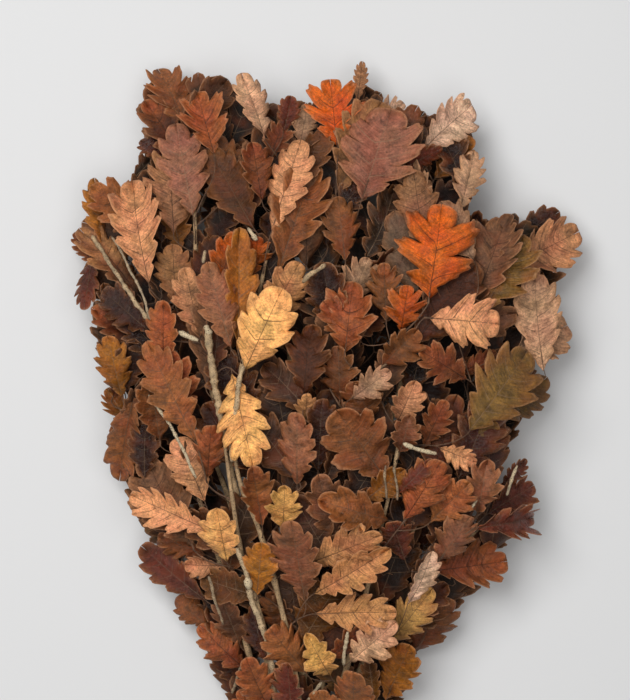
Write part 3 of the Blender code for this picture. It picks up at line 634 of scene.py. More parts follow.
def drawn_in(column, row, ahead, down, slenderness):
    """A leaf's middle pixel, moved in until its tip and its shoulders are inside the edge."""
    for _ in range(EDGE_TRIES):
        shoulder = (column + ahead * SHOULDER_PLACE, row + down * SHOULDER_PLACE)
        reach = slenderness * SHOULDER_REACH
        corners = ((column + ahead, row + down),
                   (shoulder[0] - down * reach, shoulder[1] + ahead * reach),
                   (shoulder[0] + down * reach, shoulder[1] - ahead * reach))
        if all(inside_edge(*corner) for corner in corners):
            break
        column += (BUNCH_MIDDLE[0] - column) * EDGE_PULL
        row += (BUNCH_MIDDLE[1] - row) * EDGE_PULL
    return column, row


def make_solid(points, faces):
    """Points and faces with the tree and box that the room tests use."""
    low = Vector([min(p[k] for p in points) for k in range(3)])
    high = Vector([max(p[k] for p in points) for k in range(3)])
    return Solid(points, faces, BVHTree.FromPolygons(points, faces), low, high)


def crosses(a, b):
    """Whether two solids' surfaces cross."""
    if any(a.low[k] > b.high[k] or b.low[k] > a.high[k] for k in range(3)):
        return False
    return bool(a.tree.overlap(b.tree))


def lifted(solid, shift):
    """The solid moved."""
    return make_solid([p + shift for p in solid.points], solid.faces)


def make_blade(base, tip, width, roll, camber, skew, tone="", detail=0):
    """A blade's own axes, from its base and tip and its turn about the midrib."""
    axis = (tip - base).normalized()
    up = (Vector((0, 0, 1)) - axis * axis.z).normalized()
    normal = Matrix.Rotation(math.radians(roll), 3, axis) @ up
    side = axis.cross(normal)
    return Blade(base, axis, side, normal, (tip - base).length, width, camber, skew, tone, detail)


def strip_solid(stations):
    """A closed strip through (left, right, half thickness vector) stations."""
    points = []
    for left, right, half in stations:
        points += [left + half, right + half, left - half, right - half]
    faces = [(0, 1, 3), (0, 3, 2)]
    for k in range(0, len(points) - 4, 4):
        n = k + 4
        faces += [(k, n + 1, k + 1), (k, n, n + 1)]
        faces += [(k + 2, k + 3, n + 3), (k + 2, n + 3, n + 2)]
        faces += [(k, k + 2, n + 2), (k, n + 2, n)]
        faces += [(k + 1, n + 3, k + 3), (k + 1, n + 1, n + 3)]
    last = len(points) - 4
    faces += [(last, last + 3, last + 1), (last, last + 2, last + 3)]
    return points, faces


def stalk_end(blade):
    """Where the short stalk of a blade ends."""
    return blade.base - blade.axis * STALK_LENGTH + blade.normal * STALK_RISE


def twig_stations(blade, path, extra):
    """Square stations along a twig that runs into a blade's stalk, from its root."""
    stations = []
    across = blade.side
    for k in range(len(path) - 1, -1, -1):
        along = (path[min(k + 1, len(path) - 1)] - path[max(k - 1, 0)]).normalized()
        across = (across - along * across.dot(along)).normalized()
        half = (TWIG_HALF_WIDTH if k else TWIG_ROOT_HALF_WIDTH) + extra
        side = across * half
        stations.insert(0, (path[k] - side, path[k] + side, across.cross(along) * half))
    return stations


def blade_solid(blade, path=None, extra=0.0):
    """A lobed blade with its stalk, which may start as a twig that follows a path."""
    if path:
        stations = twig_stations(blade, path, extra)
    else:
        end = stalk_end(blade)
        across = blade.side * STALK_HALF_WIDTH
        half = blade.normal * (STALK_THICKNESS / 2 + extra)
        stations = [(end - across, end + across, half)]
    for share, half_width in LOBES:
        middle = blade.base + blade.axis * (blade.length * share)
        middle += blade.normal * (blade.camber * 4 * share * (1 - share))
        lean = blade.axis * (blade.length * blade.skew * LOBE_SKEW * (0 < share < 1))
        across = blade.side * (half_width * blade.width)
        half = blade.normal * (BLADE_THICKNESS / 2 + extra)
        stations.append((middle - across - lean, middle + across + lean, half))
    return make_solid(*strip_solid(stations))


def tube_solid(path, radii, sides):
    """A closed tube along a path, with a corner to +X at its start."""
    points = []
    faces = []
    across = Vector((1, 0, 0))
    for k, place in enumerate(path):
        ahead = path[min(k + 1, len(path) - 1)] - path[max(k - 1, 0)]
        ahead.normalize()
        across = (across - ahead * across.dot(ahead)).normalized()
        other = ahead.cross(across)
        for s in range(sides):
            turn = 2 * math.pi * s / sides
            points.append(place + (across * math.cos(turn) + other * math.sin(turn)) * radii[k])
        if k == 0:
            continue
        first = (k - 1) * sides
        for s in range(sides):
            n = (s + 1) % sides
            a, b, c, d = first + s, first + n, first + sides + n, first + sides + s
            faces += [(a, b, c), (a, c, d)]
    last = len(points) - sides
    for s in range(1, sides - 1):
        faces.append((0, s + 1, s))
        faces.append((last, last + s, last + s + 1))
    return make_solid(points, faces)


def smooth_path(knots, step):
    """Evenly spaced points on a smooth curve through the knots."""
    fine = []
    for k in range(len(knots) - 1):
        before = knots[max(k - 1, 0)]
        after = knots[min(k + 2, len(knots) - 1)]
        start_pull = (knots[k + 1] - before) / 2
        end_pull = (after - knots[k]) / 2
        for j in range(CURVE_PARTS):
            t = j / CURVE_PARTS
            fine.append(
                knots[k] * (2 * t**3 - 3 * t**2 + 1) + start_pull * (t**3 - 2 * t**2 + t)
                + knots[k + 1] * (3 * t**2 - 2 * t**3) + end_pull * (t**3 - t**2)
            )
    fine.append(knots[-1])
    along = [0.0]
    for a, b in zip(fine, fine[1:]):
        along.append(along[-1] + (b - a).length)
    count = max(2, round(along[-1] / step) + 1)
    wanted = np.linspace(0, along[-1], count)
    columns = [np.interp(wanted, along, [p[k] for p in fine]) for k in range(3)]
    return [Vector(p) for p in zip(*columns)]


def bow_path(start, start_way, end, end_way, step):
    """A curve that leaves one point and reaches another in given directions."""
    reach = (end - start).length
    pull_a = start + start_way * (reach / 3)
    pull_b = end - end_way * (reach / 3)
    count = max(2, math.ceil(reach / step))
    path = []
    for j in range(count + 1):
        t = j / count
        path.append(
            start * (1 - t) ** 3 + pull_a * (3 * t * (1 - t) ** 2)
            + pull_b * (3 * t**2 * (1 - t)) + end * t**3
        )
    return path


def tie_slot(column, row):
    """A stem's middle in the tie: X from the tie's middle, and height."""
    spacing = 2 * STEM_RADIUS + STEM_GAP
    lowest = (TWINE_DIAMETER + TWINE_GAP + STEM_RADIUS) * math.cos(math.pi / TIE_CORNERS)
    return column * spacing, lowest + row * spacing * math.sqrt(3) / 2


def stem_path(slot, knots):
    """A main stem from its cut end through the tie to its tip."""
    x, z = tie_slot(*slot)
    tie = seen_at(*TIE_PIXEL, z)
    cut = Vector((tie.x + x * STEM_SPLAY, seen_at(TIE_PIXEL[0], CUT_END_PIXEL, z).y, z))
    held = [Vector((tie.x + x, tie.y + y, z)) for y in STEM_HELD]
    rest = smooth_path([held[1]] + [seen_at(*knot) for knot in knots], STEM_STEP)
    return [cut, held[0]] + rest


def stem_radii(path):
    """Radii that taper from the tie to the tip."""
    count = len(path) - 1
    shares = [max(0, k - 2) / (count - 2) for k in range(count + 1)]
    return [STEM_RADIUS + (STEM_TIP_RADIUS - STEM_RADIUS) * share**STEM_TAPER for share in shares]


def joints_along(path, branch, part, skip):
    """Places along the path of a branch's part where a twig can grow."""
    joints = []
    dense = smooth_path(path, JOINT_STEP)
    for k in range(1, len(dense)):
        if k * JOINT_STEP >= skip:
            joints.append(Joint(dense[k], (dense[k] - dense[k - 1]).normalized(), branch, part))
    return joints


def resting_blades(draw):
    """The leaves whose undersides lie on the surface."""
    blades = []
    for base_u, base_v, tip_u, tip_v, width in RESTING_LEAVES:
        level = BLADE_THICKNESS / 2
        base, tip = seen_at(base_u, base_v, level), seen_at(tip_u, tip_v, level)
        blades.append(make_blade(base, tip, width, 0, 0, draw.uniform(-1, 1)))
    return blades


def seen_blades(draw, leaves):
    """Leaves seen from above, the deeper and further ones first."""
    blades = []
    for row in sorted(leaves, key=lambda row: (-row[LAYER_FIELD], row[TIP_FIELD])):
        base_u, base_v, tip_u, tip_v, width, layer, roll, tone = row
        depth = LAYER_DEPTHS[layer]
        base = seen_at(base_u, base_v, heap_level(base_u, base_v, 1) - depth - BASE_DROP)
        tip = seen_at(tip_u, tip_v, heap_level(tip_u, tip_v, 1) - depth)
        camber, skew = draw.uniform(*LEAF_CAMBER), draw.uniform(-1, 1)
        blade = make_blade(base, tip, width, roll, camber, skew, tone, 2)
        blades.append((blade, 1, SEEN_TRIES))
    return blades


def sheet_blades(draw, sheets, detail):
    """The leaves between and under those, fanned out from the tie."""
    blades = []
    for spacing, share, way in sheets:
        for row in range(SHEET_ROWS[0], SHEET_ROWS[1], spacing):
            left, right = heap_edges(row)
            count = max(2, round((right - left - 2 * SHEET_MARGIN) / spacing) + 1)
            for column in np.linspace(left + SHEET_MARGIN, right - SHEET_MARGIN, count):
                u = float(column) + draw.uniform(-1, 1) * SHEET_JITTER * spacing
                v = row + draw.uniform(-1, 1) * SHEET_JITTER * spacing
                turn = math.atan2(u - FAN_PIXEL[0], FAN_PIXEL[1] - v)
                turn += draw.uniform(-1, 1) * (FAN_SPREAD if detail else FILLER_SPREAD)
                length = draw.uniform(*(LEAF_LENGTH if detail else FILLER_LENGTH))
                slenderness = draw.uniform(*LEAF_SLENDERNESS)
                half = length / PIXEL / 2
                du, dv = math.sin(turn) * half, -math.cos(turn) * half
                u, v = drawn_in(u, v, du, dv, slenderness)
                base = seen_at(u - du, v - dv, heap_level(u - du, v - dv, share))
                tip = seen_at(u + du, v + dv, heap_level(u + du, v + dv, share))
                roll = draw.uniform(-1, 1) * SHEET_ROLL
                camber, skew = draw.uniform(*LEAF_CAMBER), draw.uniform(-1, 1)
                blade = make_blade(base, tip, length * slenderness, roll, camber, skew, "", detail)
                blades.append((blade, way, SHEET_TRIES))
    return blades


def stick_path(knots):
    """The line of a bare stick, on top of the heap."""
    places = []
    for column, row, depth in knots:
        level = min(STICK_TOP, heap_level(column, row, 1)) - depth
        places.append(seen_at(column, row, level))
    return places


def crooked(path, draw):
    """A stick's line with small bends, finely divided."""
    bent = smooth_path(path, STICK_BEND_STEP)
    bent = [p + Vector([draw.uniform(-1, 1) * STICK_BEND for _ in range(3)]) for p in bent]
    return smooth_path(bent, STICK_STEP)


def kept_in_view(branches):
    """The leaves that are seen from above, and a strip along each bare stick, as one tree."""
    solids = [blade_solid(blade) for branch in branches for blade, _ in branch.leaves
              if blade.detail == 2]
    for _, _, _, knots in STICKS:
        path = stick_path(knots)
        across = (path[-1] - path[0]).cross(Vector((0, 0, 1))).normalized() * STICK_STRIP
        half = Vector((0, 0, BLADE_THICKNESS))
        solids.append(make_solid(*strip_solid([(p - across, p + across, half) for p in path])))
    return joined_tree(solids)


def joined_tree(solids):
    """One tree of all the solids."""
    points, faces = [], []
    for solid in solids:
        faces += [[corner + len(points) for corner in face] for face in solid.faces]
        points += solid.points
    return BVHTree.FromPolygons(points, faces)


def hides(blade, shown):
    """Whether a blade covers what is to be seen from above."""
    eye = Vector((0, 0, EYE_HEIGHT))
    count = 0
    for along in HIDE_ALONG:
        for across in HIDE_ACROSS:
            place = blade.base + blade.axis * (blade.length * along)
            place = place + blade.side * (blade.width * across)
            count += shown.ray_cast(place, place - eye)[0] is not None
    return count > HIDE_LIMIT


def find_room(blade, way, tries, others, shown=None):
    """The blade, raised or lowered until it crosses and hides nothing, or None."""
    room = blade_solid(blade, extra=CLEARANCE)
    step = Vector((0, 0, way * RAISE_STEP))
    shift = Vector((0, 0, max(0.0, FLOOR_GAP - room.low.z)))
    for _ in range(tries):
        moved = lifted(room, shift)
        if moved.low.z >= FLOOR_GAP * FLOOR_SLACK and not any(crosses(moved, o) for o in others):
            placed = blade._replace(base=blade.base + shift)
            if shown is None or not hides(placed, shown):
                return placed
        shift = shift + step
    return None


def place_blades(stems):
    """All blades, each clear of the stems and of the other blades."""
    draw = random.Random(SEED)
    blades = resting_blades(draw)
    taken = stems + [blade_solid(blade) for blade in blades]
    for blade, way, tries in seen_blades(draw, SEEN_LEAVES) + sheet_blades(draw, SHEETS, 1):
        placed = find_room(blade, way, tries, taken)
        if placed is not None:
            blades.append(placed)
            taken.append(blade_solid(placed))
    return blades


def growth_cost(joint, end, axis):
    """How far and how sharply a twig would turn from a joint to a stalk's end."""
    way = end - joint.place
    reach = way.length
    if not SHORTEST_TWIG < reach < TWIG_REACH:
        return None
    way = way / reach
    leave, arrive = way.dot(joint.along), way.dot(axis)
    if leave < TWIG_TURNS[0] or arrive < TWIG_TURNS[1]:
        return None
    return reach * (1 + TURN_COSTS[0] * (1 - leave) + TURN_COSTS[1] * (1 - arrive))


def twig_path(joint, blade):
    """The way of a twig from a joint to the end of a blade's stalk."""
    end = stalk_end(blade)
    leave = ((end - joint.place).normalized() + joint.along * TWIG_LEAN).normalized()
    arrive = (blade.axis - blade.normal * (STALK_RISE / STALK_LENGTH)).normalized()
    return bow_path(joint.place, leave, end, arrive, TWIG_STEP)


def best_joint(blade, joints, branches, waiting, tries):
    """The nearest joint whose twig crosses nothing, or else only its own branch."""
    end = stalk_end(blade)
    costs = []
    for k, joint in enumerate(joints):
        cost = growth_cost(joint, end, blade.axis)
        if cost is not None:
            costs.append((cost * (1 + CROWDING * len(branches[joint.branch])), k))
    spare = None
    for _, k in sorted(costs)[:tries]:
        joint = joints[k]
        path = twig_path(joint, blade)
        if not all(inside_edge(*pixel_of(place)) for place in path):
            continue
        room = blade_solid(blade, path, CLEARANCE)
        others = [part for b, parts in enumerate(branches) if b != joint.branch for part in parts]
        if any(crosses(room, other) for other in others + waiting):
            continue
        own = branches[joint.branch]
        if not any(crosses(room, part) for p, part in enumerate(own) if p != joint.part):
            return joint, path
        spare = spare or (joint, path)
    return spare


@functools.lru_cache(maxsize=1)
def lay_out():
    """The branches, each with its stem's path and its leaves with their twigs' paths."""
    paths = [stem_path(slot, knots) for slot, knots in STEMS]
    solids = [tube_solid(path, stem_radii(path), STEM_SIDES) for path in paths]
    blades = place_blades(solids)
    parts = [[solid] for solid in solids]
    branches = [Branch(path, []) for path in paths]
    joints = []
    for branch, path in enumerate(paths):
        joints += joints_along(path[2:], branch, 0, STEM_BARE)
    blades = sorted(blades, key=lambda blade: blade.base.y)
    waiting = [blade_solid(blade) for blade in blades]
    for blade in blades:
        waiting.pop(0)
        grow_leaf(blade, joints, parts, waiting, branches, JOINT_TRIES)
    draw = random.Random(SEED + 1)
    fill(seen_blades(draw, COVER_LEAVES), joints, parts, branches)
    fill(sheet_blades(draw, FILLER_SHEETS, 0), joints, parts, branches)
    for share in SPOT_SHARES:
        fill(spot_blades(draw, bare_spots(parts), share), joints, parts, branches)
    return branches


def fill(blades, joints, parts, branches):
    """Grow those of the blades that find room."""
    shown = kept_in_view(branches)
    for blade, way, tries in blades:
        placed = find_room(blade, way, tries, [part for own in parts for part in own], shown)
        if placed is not None:
            grow_leaf(placed, joints, parts, [], branches, FILLER_JOINT_TRIES)


def bare_spots(parts):
    """Pixels inside the bunch's edge where nothing hides the surface below."""
    tree = joined_tree([part for own in parts for part in own])
    eye = Vector((0, 0, EYE_HEIGHT))
    spots = []
    for row in range(SPOT_STEP, SHEET_ROWS[1], SPOT_STEP):
        left, right = heap_edges(row)
        for column in range(int(left), int(right), SPOT_STEP):
            way = seen_at(column, row, 0) - eye
            if inside_edge(column, row) and tree.ray_cast(eye, way)[0] is None:
                spots.append((column, row))
    return spots


def spot_blades(draw, spots, share):
    """One leaf for each bare spot, with its widest part over it."""
    blades = []
    for column, row in spots:
        turn = math.atan2(column - FAN_PIXEL[0], FAN_PIXEL[1] - row)
        turn += draw.uniform(-1, 1) * FILLER_SPREAD
        length = draw.uniform(*FILLER_LENGTH)
        slenderness = draw.uniform(*LEAF_SLENDERNESS)
        du, dv = math.sin(turn) * length / PIXEL, -math.cos(turn) * length / PIXEL
        u, v = drawn_in(
            column - du * SPOT_OFFSET, row - dv * SPOT_OFFSET, du / 2, dv / 2, slenderness)
        level = heap_level(column, row, share)
        base = seen_at(u - du / 2, v - dv / 2, level - draw.uniform(0, BASE_DROP))
        tip = seen_at(u + du / 2, v + dv / 2, level)
        roll = draw.uniform(-1, 1) * SHEET_ROLL
        blade = make_blade(base, tip, length * slenderness, roll, 0, draw.uniform(-1, 1))
        blades.append((blade, draw.choice((-1, 1)), SHEET_TRIES))
    return blades


def grow_leaf(blade, joints, parts, waiting, branches, tries):
    """Join a leaf to the nearest wood that it can reach."""
    found = best_joint(blade, joints, parts, waiting, tries)
    if found is None:
        return
    joint, path = found
    joints += joints_along(path, joint.branch, len(parts[joint.branch]), TWIG_BARE)
    parts[joint.branch].append(blade_solid(blade, path))
    branches[joint.branch].leaves.append((blade, path))


def frame_shift():
    """How far the bunch stands from its place in the picture, read from the tie."""
    low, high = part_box("twine_tie")
    tie = seen_at(*TIE_PIXEL, 0)
    first_turn = tie.y - TWINE_DIAMETER * TWINE_PITCH * TWINE_TURNS / 2
    return Vector(((low.x + high.x) / 2 - tie.x, low.y - first_turn, 0))


def linear(colour):
    """An sRGB hex value as a linear colour."""
    parts = [int(colour[k:k + 2], 16) / 255 for k in (1, 3, 5)]
    return [p / 12.92 if p <= 0.04045 else ((p + 0.055) / 1.055) ** 2.4 for p in parts]


def paint(colour):
    """An sRGB hex value as an opaque linear colour."""
    return (*linear(colour), 1)


def length_property(name, description, default, low, high):
    """A length that a user can change."""
    return FloatProperty(
        name=name, description=description, default=default, min=low, max=high,
        subtype="DISTANCE", unit="LENGTH")


def share_property(name, description, default, high):
    """A share that a user can change."""
    return FloatProperty(
        name=name, description=description, default=default, min=0, max=high, subtype="FACTOR")


def power_property(name, description, default):
    """A light's power that a user can change."""
    return FloatProperty(
        name=name, description=description, default=default, min=0, unit="POWER")


def colour_property(name, description, colour):
    """A colour that a user can change."""
    return FloatVectorProperty(
        name=name, description=description, default=linear(colour), subtype="COLOR", size=3,
        min=0, max=1)


class OakLeafSettings(PropertyGroup):
    """Sizes of the dried leaves."""

    thickness: length_property(
        "Thickness", "Thickness of a dried blade", 0.00034, 0.0001, 0.001)
    lobe_depth: share_property(
        "Lobe Depth", "How far the sinuses go in towards the midrib", 0.52, 0.7)
    curl: FloatProperty(
        name="Curl", description="How far the dried edges roll up or down", default=0.9,
        min=0, max=2, subtype="ANGLE", unit="ROTATION")
    ripple: share_property(
        "Ripple", "Height of an edge's waves as a share of the width", 0.055, 0.2)


class OakWoodSettings(PropertyGroup):
    """Sizes and colours of the stems and twigs."""

    twig_radius: length_property(
        "Twig Radius", "Radius of a twig that carries one leaf", 0.0007, 0.0004, 0.002)
    ring_step: length_property(
        "Ring Step", "Length of bark between two rings of the mesh", 0.0055, 0.002, 0.03)
    bark: colour_property("Bark", "Dry bark of the stems", "#B4946C")
    straw: colour_property("Straw", "Thin young twigs", "#6A4C36")
    cut: colour_property("Cut Wood", "Pale wood at the cut ends", "#E2D0AC")


class TwineSettings(PropertyGroup):
    """Sizes and colour of the twine."""

    strands: IntProperty(
        name="Strands", description="Strands twisted into the twine", default=3, min=2, max=5)
    lay_length: length_property(
        "Lay Length", "Length of one full twist of the strands", 0.0085, 0.003, 0.03)
    colour: colour_property("Twine", "Raw jute", "#B4935F")


class OakStageSettings(PropertyGroup):
    """The floor and the lights."""

    floor: colour_property("Floor", "Matt pale board", "#E2E2E2")
    key_power: power_property("Key Light", "Power of the soft light at the upper left", 58)
    fill_power: power_property("Fill Light", "Power of the broad light overhead", 44)
    air: FloatProperty(
        name="Air Light", description="Strength of the light from all round", default=0.12,
        min=0)


def add_node(tree, kind, inputs=(), out=0, **settings):
    """A node with its settings and inputs, each a value or a socket to link: its output."""
    node = tree.nodes.new(kind)
    for key, value in settings.items():
        setattr(node, key, value)
    for key, value in inputs.items() if isinstance(inputs, dict) else enumerate(inputs):
        if isinstance(value, bpy.types.NodeSocket):
            tree.links.new(value, node.inputs[key])
        else:
            node.inputs[key].default_value = value
    return node.outputs[out]


def new_material(name):
    """A material with its tree and its shader."""
    material = bpy.data.materials.new(name)
    material.use_nodes = True
    return material, material.node_tree, material.node_tree.nodes["Principled BSDF"]


def dried_oak_leaf():
    """Air-dried oak leaf: a thin papery blade, mottled, with a satin skin over raised veins."""
    material, tree, shader = new_material("air_dried_oak_leaf")
    node = functools.partial(add_node, tree)
    place = node("ShaderNodeTexCoord", out="Object")
    # leaf_tone holds each leaf's tone with its painted light and painted shade multiplied in
    tone = node(STORED, attribute_name="leaf_tone")
    spots = node(STORED, out="Vector", attribute_name="leaf_place")
    edge, along, rib = node(PARTS, (spots,)).node.outputs
    veins = node(STORED, out="Vector", attribute_name="leaf_vein")
    side, under, dry = node(PARTS, (veins,)).node.outputs
    finish = node(STORED, out="Vector", attribute_name="leaf_finish")
    pale, rough, chance = node(PARTS, (finish,)).node.outputs

    # Mottling 9 mm across, blotches 30 mm across and a grain of 2 mm with finer specks in it
    mottle = node(NOISE, {
        "Vector": place, "Scale": 1 / 0.009, "Detail": 6.0, "Roughness": 0.7})
    blotch = node(NOISE, {"Vector": place, "Scale": 1 / 0.030, "Detail": 3.0})
    grain = node(NOISE, {
        "Vector": place, "Scale": 1 / 0.0022, "Detail": 4.0, "Roughness": 0.72})
    # Fibres lie along the side veins, a dozen between two veins
    fibre_place = node("ShaderNodeCombineXYZ", (
        node(MATH, (side, 11.0), **PRODUCT),
        node(MATH, (edge, 1.6), **PRODUCT),
        node(MATH, (chance, 40.0), **PRODUCT)))
    fibre = node(NOISE, {
        "Vector": fibre_place, "Scale": 1.0, "Detail": 4.0, "Roughness": 0.6})
    # The fine net of veins, with meshes of 2.5 mm
    net = node("ShaderNodeTexVoronoi", {"Vector": place, "Scale": 1 / 0.0025},
               feature="DISTANCE_TO_EDGE")
    net_line = node(SPREAD, (net, 0.0, 0.12, 1.0, 0.0), **SMOOTH)

    # The midrib tapers from 1.6 mm to 0.5 mm across, and a side vein from 1.2 mm to 0.5 mm
    rib_width = node(SPREAD, (along, 0.0, 1.0, 0.80, 0.26))
    rib_line = node(SPREAD, (rib, 0.12, rib_width, 1.0, 0.0), **SMOOTH)
    off_vein = node(MATH, (side, 0.5), operation="PINGPONG")
    vein_width = node(SPREAD, (edge, 0.0, 1.0, 0.042, 0.018))
    vein_line = node(SPREAD, (off_vein, 0.006, vein_width, 1.0, 0.0), **SMOOTH)
    fade = node(MATH, (
        node(SPREAD, (edge, 0.55, 0.95, 1.0, 0.3)),
        node(SPREAD, (side, 0.45, 0.65, 0.0, 1.0))), **PRODUCT)
    vein_line = node(MATH, (vein_line, fade), **PRODUCT)
    lines = node(MATH, (rib_line, vein_line), operation="MAXIMUM")

    value = node(MATH, (
        node(SPREAD, (mottle, 0.30, 0.70, 0.48, 1.52)),
        node(SPREAD, (fibre, 0.30, 0.70, 0.68, 1.32))), **PRODUCT)
    value = node(MATH, (
        node(SPREAD, (grain, 0.32, 0.68, 0.64, 1.38)), value), **PRODUCT)
    hue = node(SPREAD, (blotch, 0.32, 0.68, 0.490, 0.506))
    colour = node(SATURATION, {"Hue": hue, "Value": value, "Color": tone})
    # Patches that dried redder, scorched ones, and a rim that dried warmer
    red = node(MATH, (
        node(SPREAD, (blotch, 0.50, 0.34, 0.0, 0.5), **SMOOTH), dry), **PRODUCT)
    scorched = node(MATH, (
        node(SPREAD, (blotch, 0.54, 0.70, 0.0, 1.0), **SMOOTH), dry), **PRODUCT)
    warm = node(MATH, (
        node(SPREAD, (edge, 0.60, 1.0, 0.0, 0.24), **SMOOTH),
        node(SPREAD, (fibre, 0.35, 0.65, 0.4, 1.0))), **PRODUCT)
    for layer, hue in ((red, "#8C4216"), (scorched, "#3C1E10"), (warm, "#CC7A38")):
        colour = node(MIX, {0: layer, 6: colour, 7: paint(hue)}, **MIXED)
    dark_vein = node(MIX, {0: 0.76, 6: colour, 7: paint("#301A0C")}, **MIXED)
    pale_vein = node(MIX, {0: 0.55, 6: colour, 7: paint("#DDB48C")}, **MIXED)
    vein_colour = node(MIX, {0: pale, 6: dark_vein, 7: pale_vein}, **MIXED)
    colour = node(MIX, {0: lines, 6: colour, 7: vein_colour}, **MIXED)
    fine = node(MATH, (net_line, 0.15), **PRODUCT)
    colour = node(MIX, {0: fine, 6: colour, 7: vein_colour}, **MIXED)
    # A lighter rim at the very edge: partly the paler margin of a dried leaf and partly a painted
    # highlight where the curled edges catch the light
    pale_rim_and_painted_highlight = node(MATH, (
        node(SPREAD, (edge, 0.91, 0.98, 0.0, 0.9), **SMOOTH),
        node(SPREAD, (grain, 0.35, 0.6, 0.2, 1.0))), **PRODUCT)
    rim_and_highlight_colour = node(MIX, {0: 0.5, 6: tone, 7: paint("#E0A070")}, **MIXED)
    colour = node(MIX, {0: pale_rim_and_painted_highlight, 6: colour, 7: rim_and_highlight_colour}, **MIXED)
    # The underside is paler, duller and more even
    felt = node(MIX, {0: 0.35, 6: colour, 7: paint("#D0A88C")}, **MIXED)
    colour = node(MIX, {0: under, 6: colour, 7: felt}, **MIXED)
    tree.links.new(colour, shader.inputs["Base Color"])

    uneven = node(SPREAD, (mottle, 0.3, 0.7, -0.10, 0.12))
    rough = node(MATH, (rough, uneven), operation="ADD")
    matt = node(MATH, (under, 0.16), **PRODUCT)
    rough = node(MATH, (rough, matt), operation="ADD")
    tree.links.new(rough, shader.inputs["Roughness"])
    shader.inputs["Specular IOR Level"].default_value = 0.35

    fine = node(MATH, (net_line, 0.25), **PRODUCT)
    relief = node(MATH, (lines, fine), operation="MAXIMUM")
    skin = node(BUMP, {"Height": relief, "Strength": 0.6, "Distance": 0.0005})
    for height, strength, depth in ((fibre, 0.7, 0.0014), (mottle, 0.8, 0.004),
                                    (grain, 0.6, 0.0008)):
        skin = node(BUMP, {
            "Height": height, "Strength": strength, "Distance": depth, "Normal": skin})
    tree.links.new(skin, shader.inputs["Normal"])
    return material


def oak_bark(settings):
    """Dry oak bark: grey-beige skin with dark specks on the stems, straw on the young twigs."""
    material, tree, shader = new_material("dry_oak_bark")
    node = functools.partial(add_node, tree)
    place = node("ShaderNodeTexCoord", out="Object")
    spots = node(STORED, out="Vector", attribute_name="wood_place")
    radius, cut, _ = node(PARTS, (spots,)).node.outputs
    # Specks 1.2 mm across, patches 9 mm across and fibres 0.5 mm across
    speck = node(NOISE, {"Vector": place, "Scale": 1 / 0.0012, "Detail": 3.0})
    patch = node(NOISE, {
        "Vector": place, "Scale": 1 / 0.009, "Detail": 5.0, "Roughness": 0.6})
    fibre = node(NOISE, {"Vector": place, "Scale": 1 / 0.0005, "Detail": 2.0})
    young = node(SPREAD, (radius, 1.1, 2.0, 1.0, 0.0))
    colour = node(MIX, {
        0: young, 6: (*settings.bark, 1), 7: (*settings.straw, 1)}, **MIXED)
    value = node(SPREAD, (patch, 0.3, 0.7, 0.5, 1.4))
    colour = node(SATURATION, {"Value": value, "Color": colour})
    colour = node(MIX, {0: cut, 6: colour, 7: (*settings.cut, 1)}, **MIXED)
    dots = node(SPREAD, (speck, 0.54, 0.64, 0.0, 0.85))
    colour = node(MIX, {0: dots, 6: colour, 7: paint("#3C2A20")}, **MIXED)
    tree.links.new(colour, shader.inputs["Base Color"])
    shader.inputs["Roughness"].default_value = 0.74
    skin = node(BUMP, {"Height": speck, "Strength": 0.8, "Distance": 0.0006})
    skin = node(BUMP, {
        "Height": fibre, "Strength": 0.5, "Distance": 0.0003, "Normal": skin})
    tree.links.new(skin, shader.inputs["Normal"])
    return material


def jute_twine(settings):
    """Spun jute: coarse dull fibres laid round each strand, with darker hollows between."""
    material, tree, shader = new_material("spun_jute")
    node = functools.partial(add_node, tree)
    place = node("ShaderNodeTexCoord", out="Object")
    # Fibres of 0.3 mm, drawn three times as long as wide
    stretched = node("ShaderNodeMapping", {"Vector": place, "Scale": (1, 1 / 3, 1)})
    fibre = node(NOISE, {"Vector": stretched, "Scale": 1 / 0.0003, "Detail": 3.0})
    value = node(SPREAD, (fibre, 0.3, 0.7, 0.6, 1.25))
    colour = node(SATURATION, {"Value": value, "Color": (*settings.colour, 1)})
    tree.links.new(colour, shader.inputs["Base Color"])
    shader.inputs["Roughness"].default_value = 0.92
    skin = node(BUMP, {"Height": fibre, "Strength": 0.9, "Distance": 0.0004})
    tree.links.new(skin, shader.inputs["Normal"])
    return material


def pale_board(settings):
    """Painted board: an even matt grey."""
    material, _, shader = new_material("painted_board")
    shader.inputs["Base Color"].default_value = (*settings.floor, 1)
    shader.inputs["Roughness"].default_value = 0.85
    return material


def finished_mesh(shape, name):
    """The shape as a smooth mesh."""
    mesh = bpy.data.meshes.new(name)
    shape.to_mesh(mesh)
    shape.free()
    mesh.shade_smooth()
    return mesh


def framed_mesh(shape, name):
    """A shape from the layout as a smooth mesh in the bunch's own frame."""
    bmesh.ops.recalc_face_normals(shape, faces=shape.faces[:])
    bmesh.ops.translate(shape, vec=frame_shift(), verts=shape.verts[:])
    return finished_mesh(shape, name)


def add_piece(name, mesh, material, slot=None, node=None):
    """An object in the scene, and a piece of the bunch where it has a slot."""
    piece = bpy.data.objects.new(name, mesh)
    bpy.context.scene.collection.objects.link(piece)
    mesh.materials.clear()
    mesh.materials.append(material)
    if slot:
        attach(piece, "root")
        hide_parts(node)
    return piece


@functools.lru_cache(maxsize=None)
def leaf_sheet(columns, rows):
    """A flat closed sheet of squares, which every leaf bends to its own shape."""
    shape = bmesh.new()
    bmesh.ops.create_grid(shape, x_segments=columns, y_segments=rows, size=1)
    bmesh.ops.solidify(shape, geom=shape.faces[:], thickness=SHEET_DEPTH)
    mesh = finished_mesh(shape, "leaf_sheet")
    places = np.array([v.co for v in mesh.vertices])
    across = np.rint((places[:, 0] + 1) / 2 * columns).astype(int)
    along = np.rint((places[:, 1] + 1) / 2 * rows).astype(int)
    return Sheet(mesh, across, along, places[:, 2] > -SHEET_DEPTH / 2, rows + 1, columns + 1)


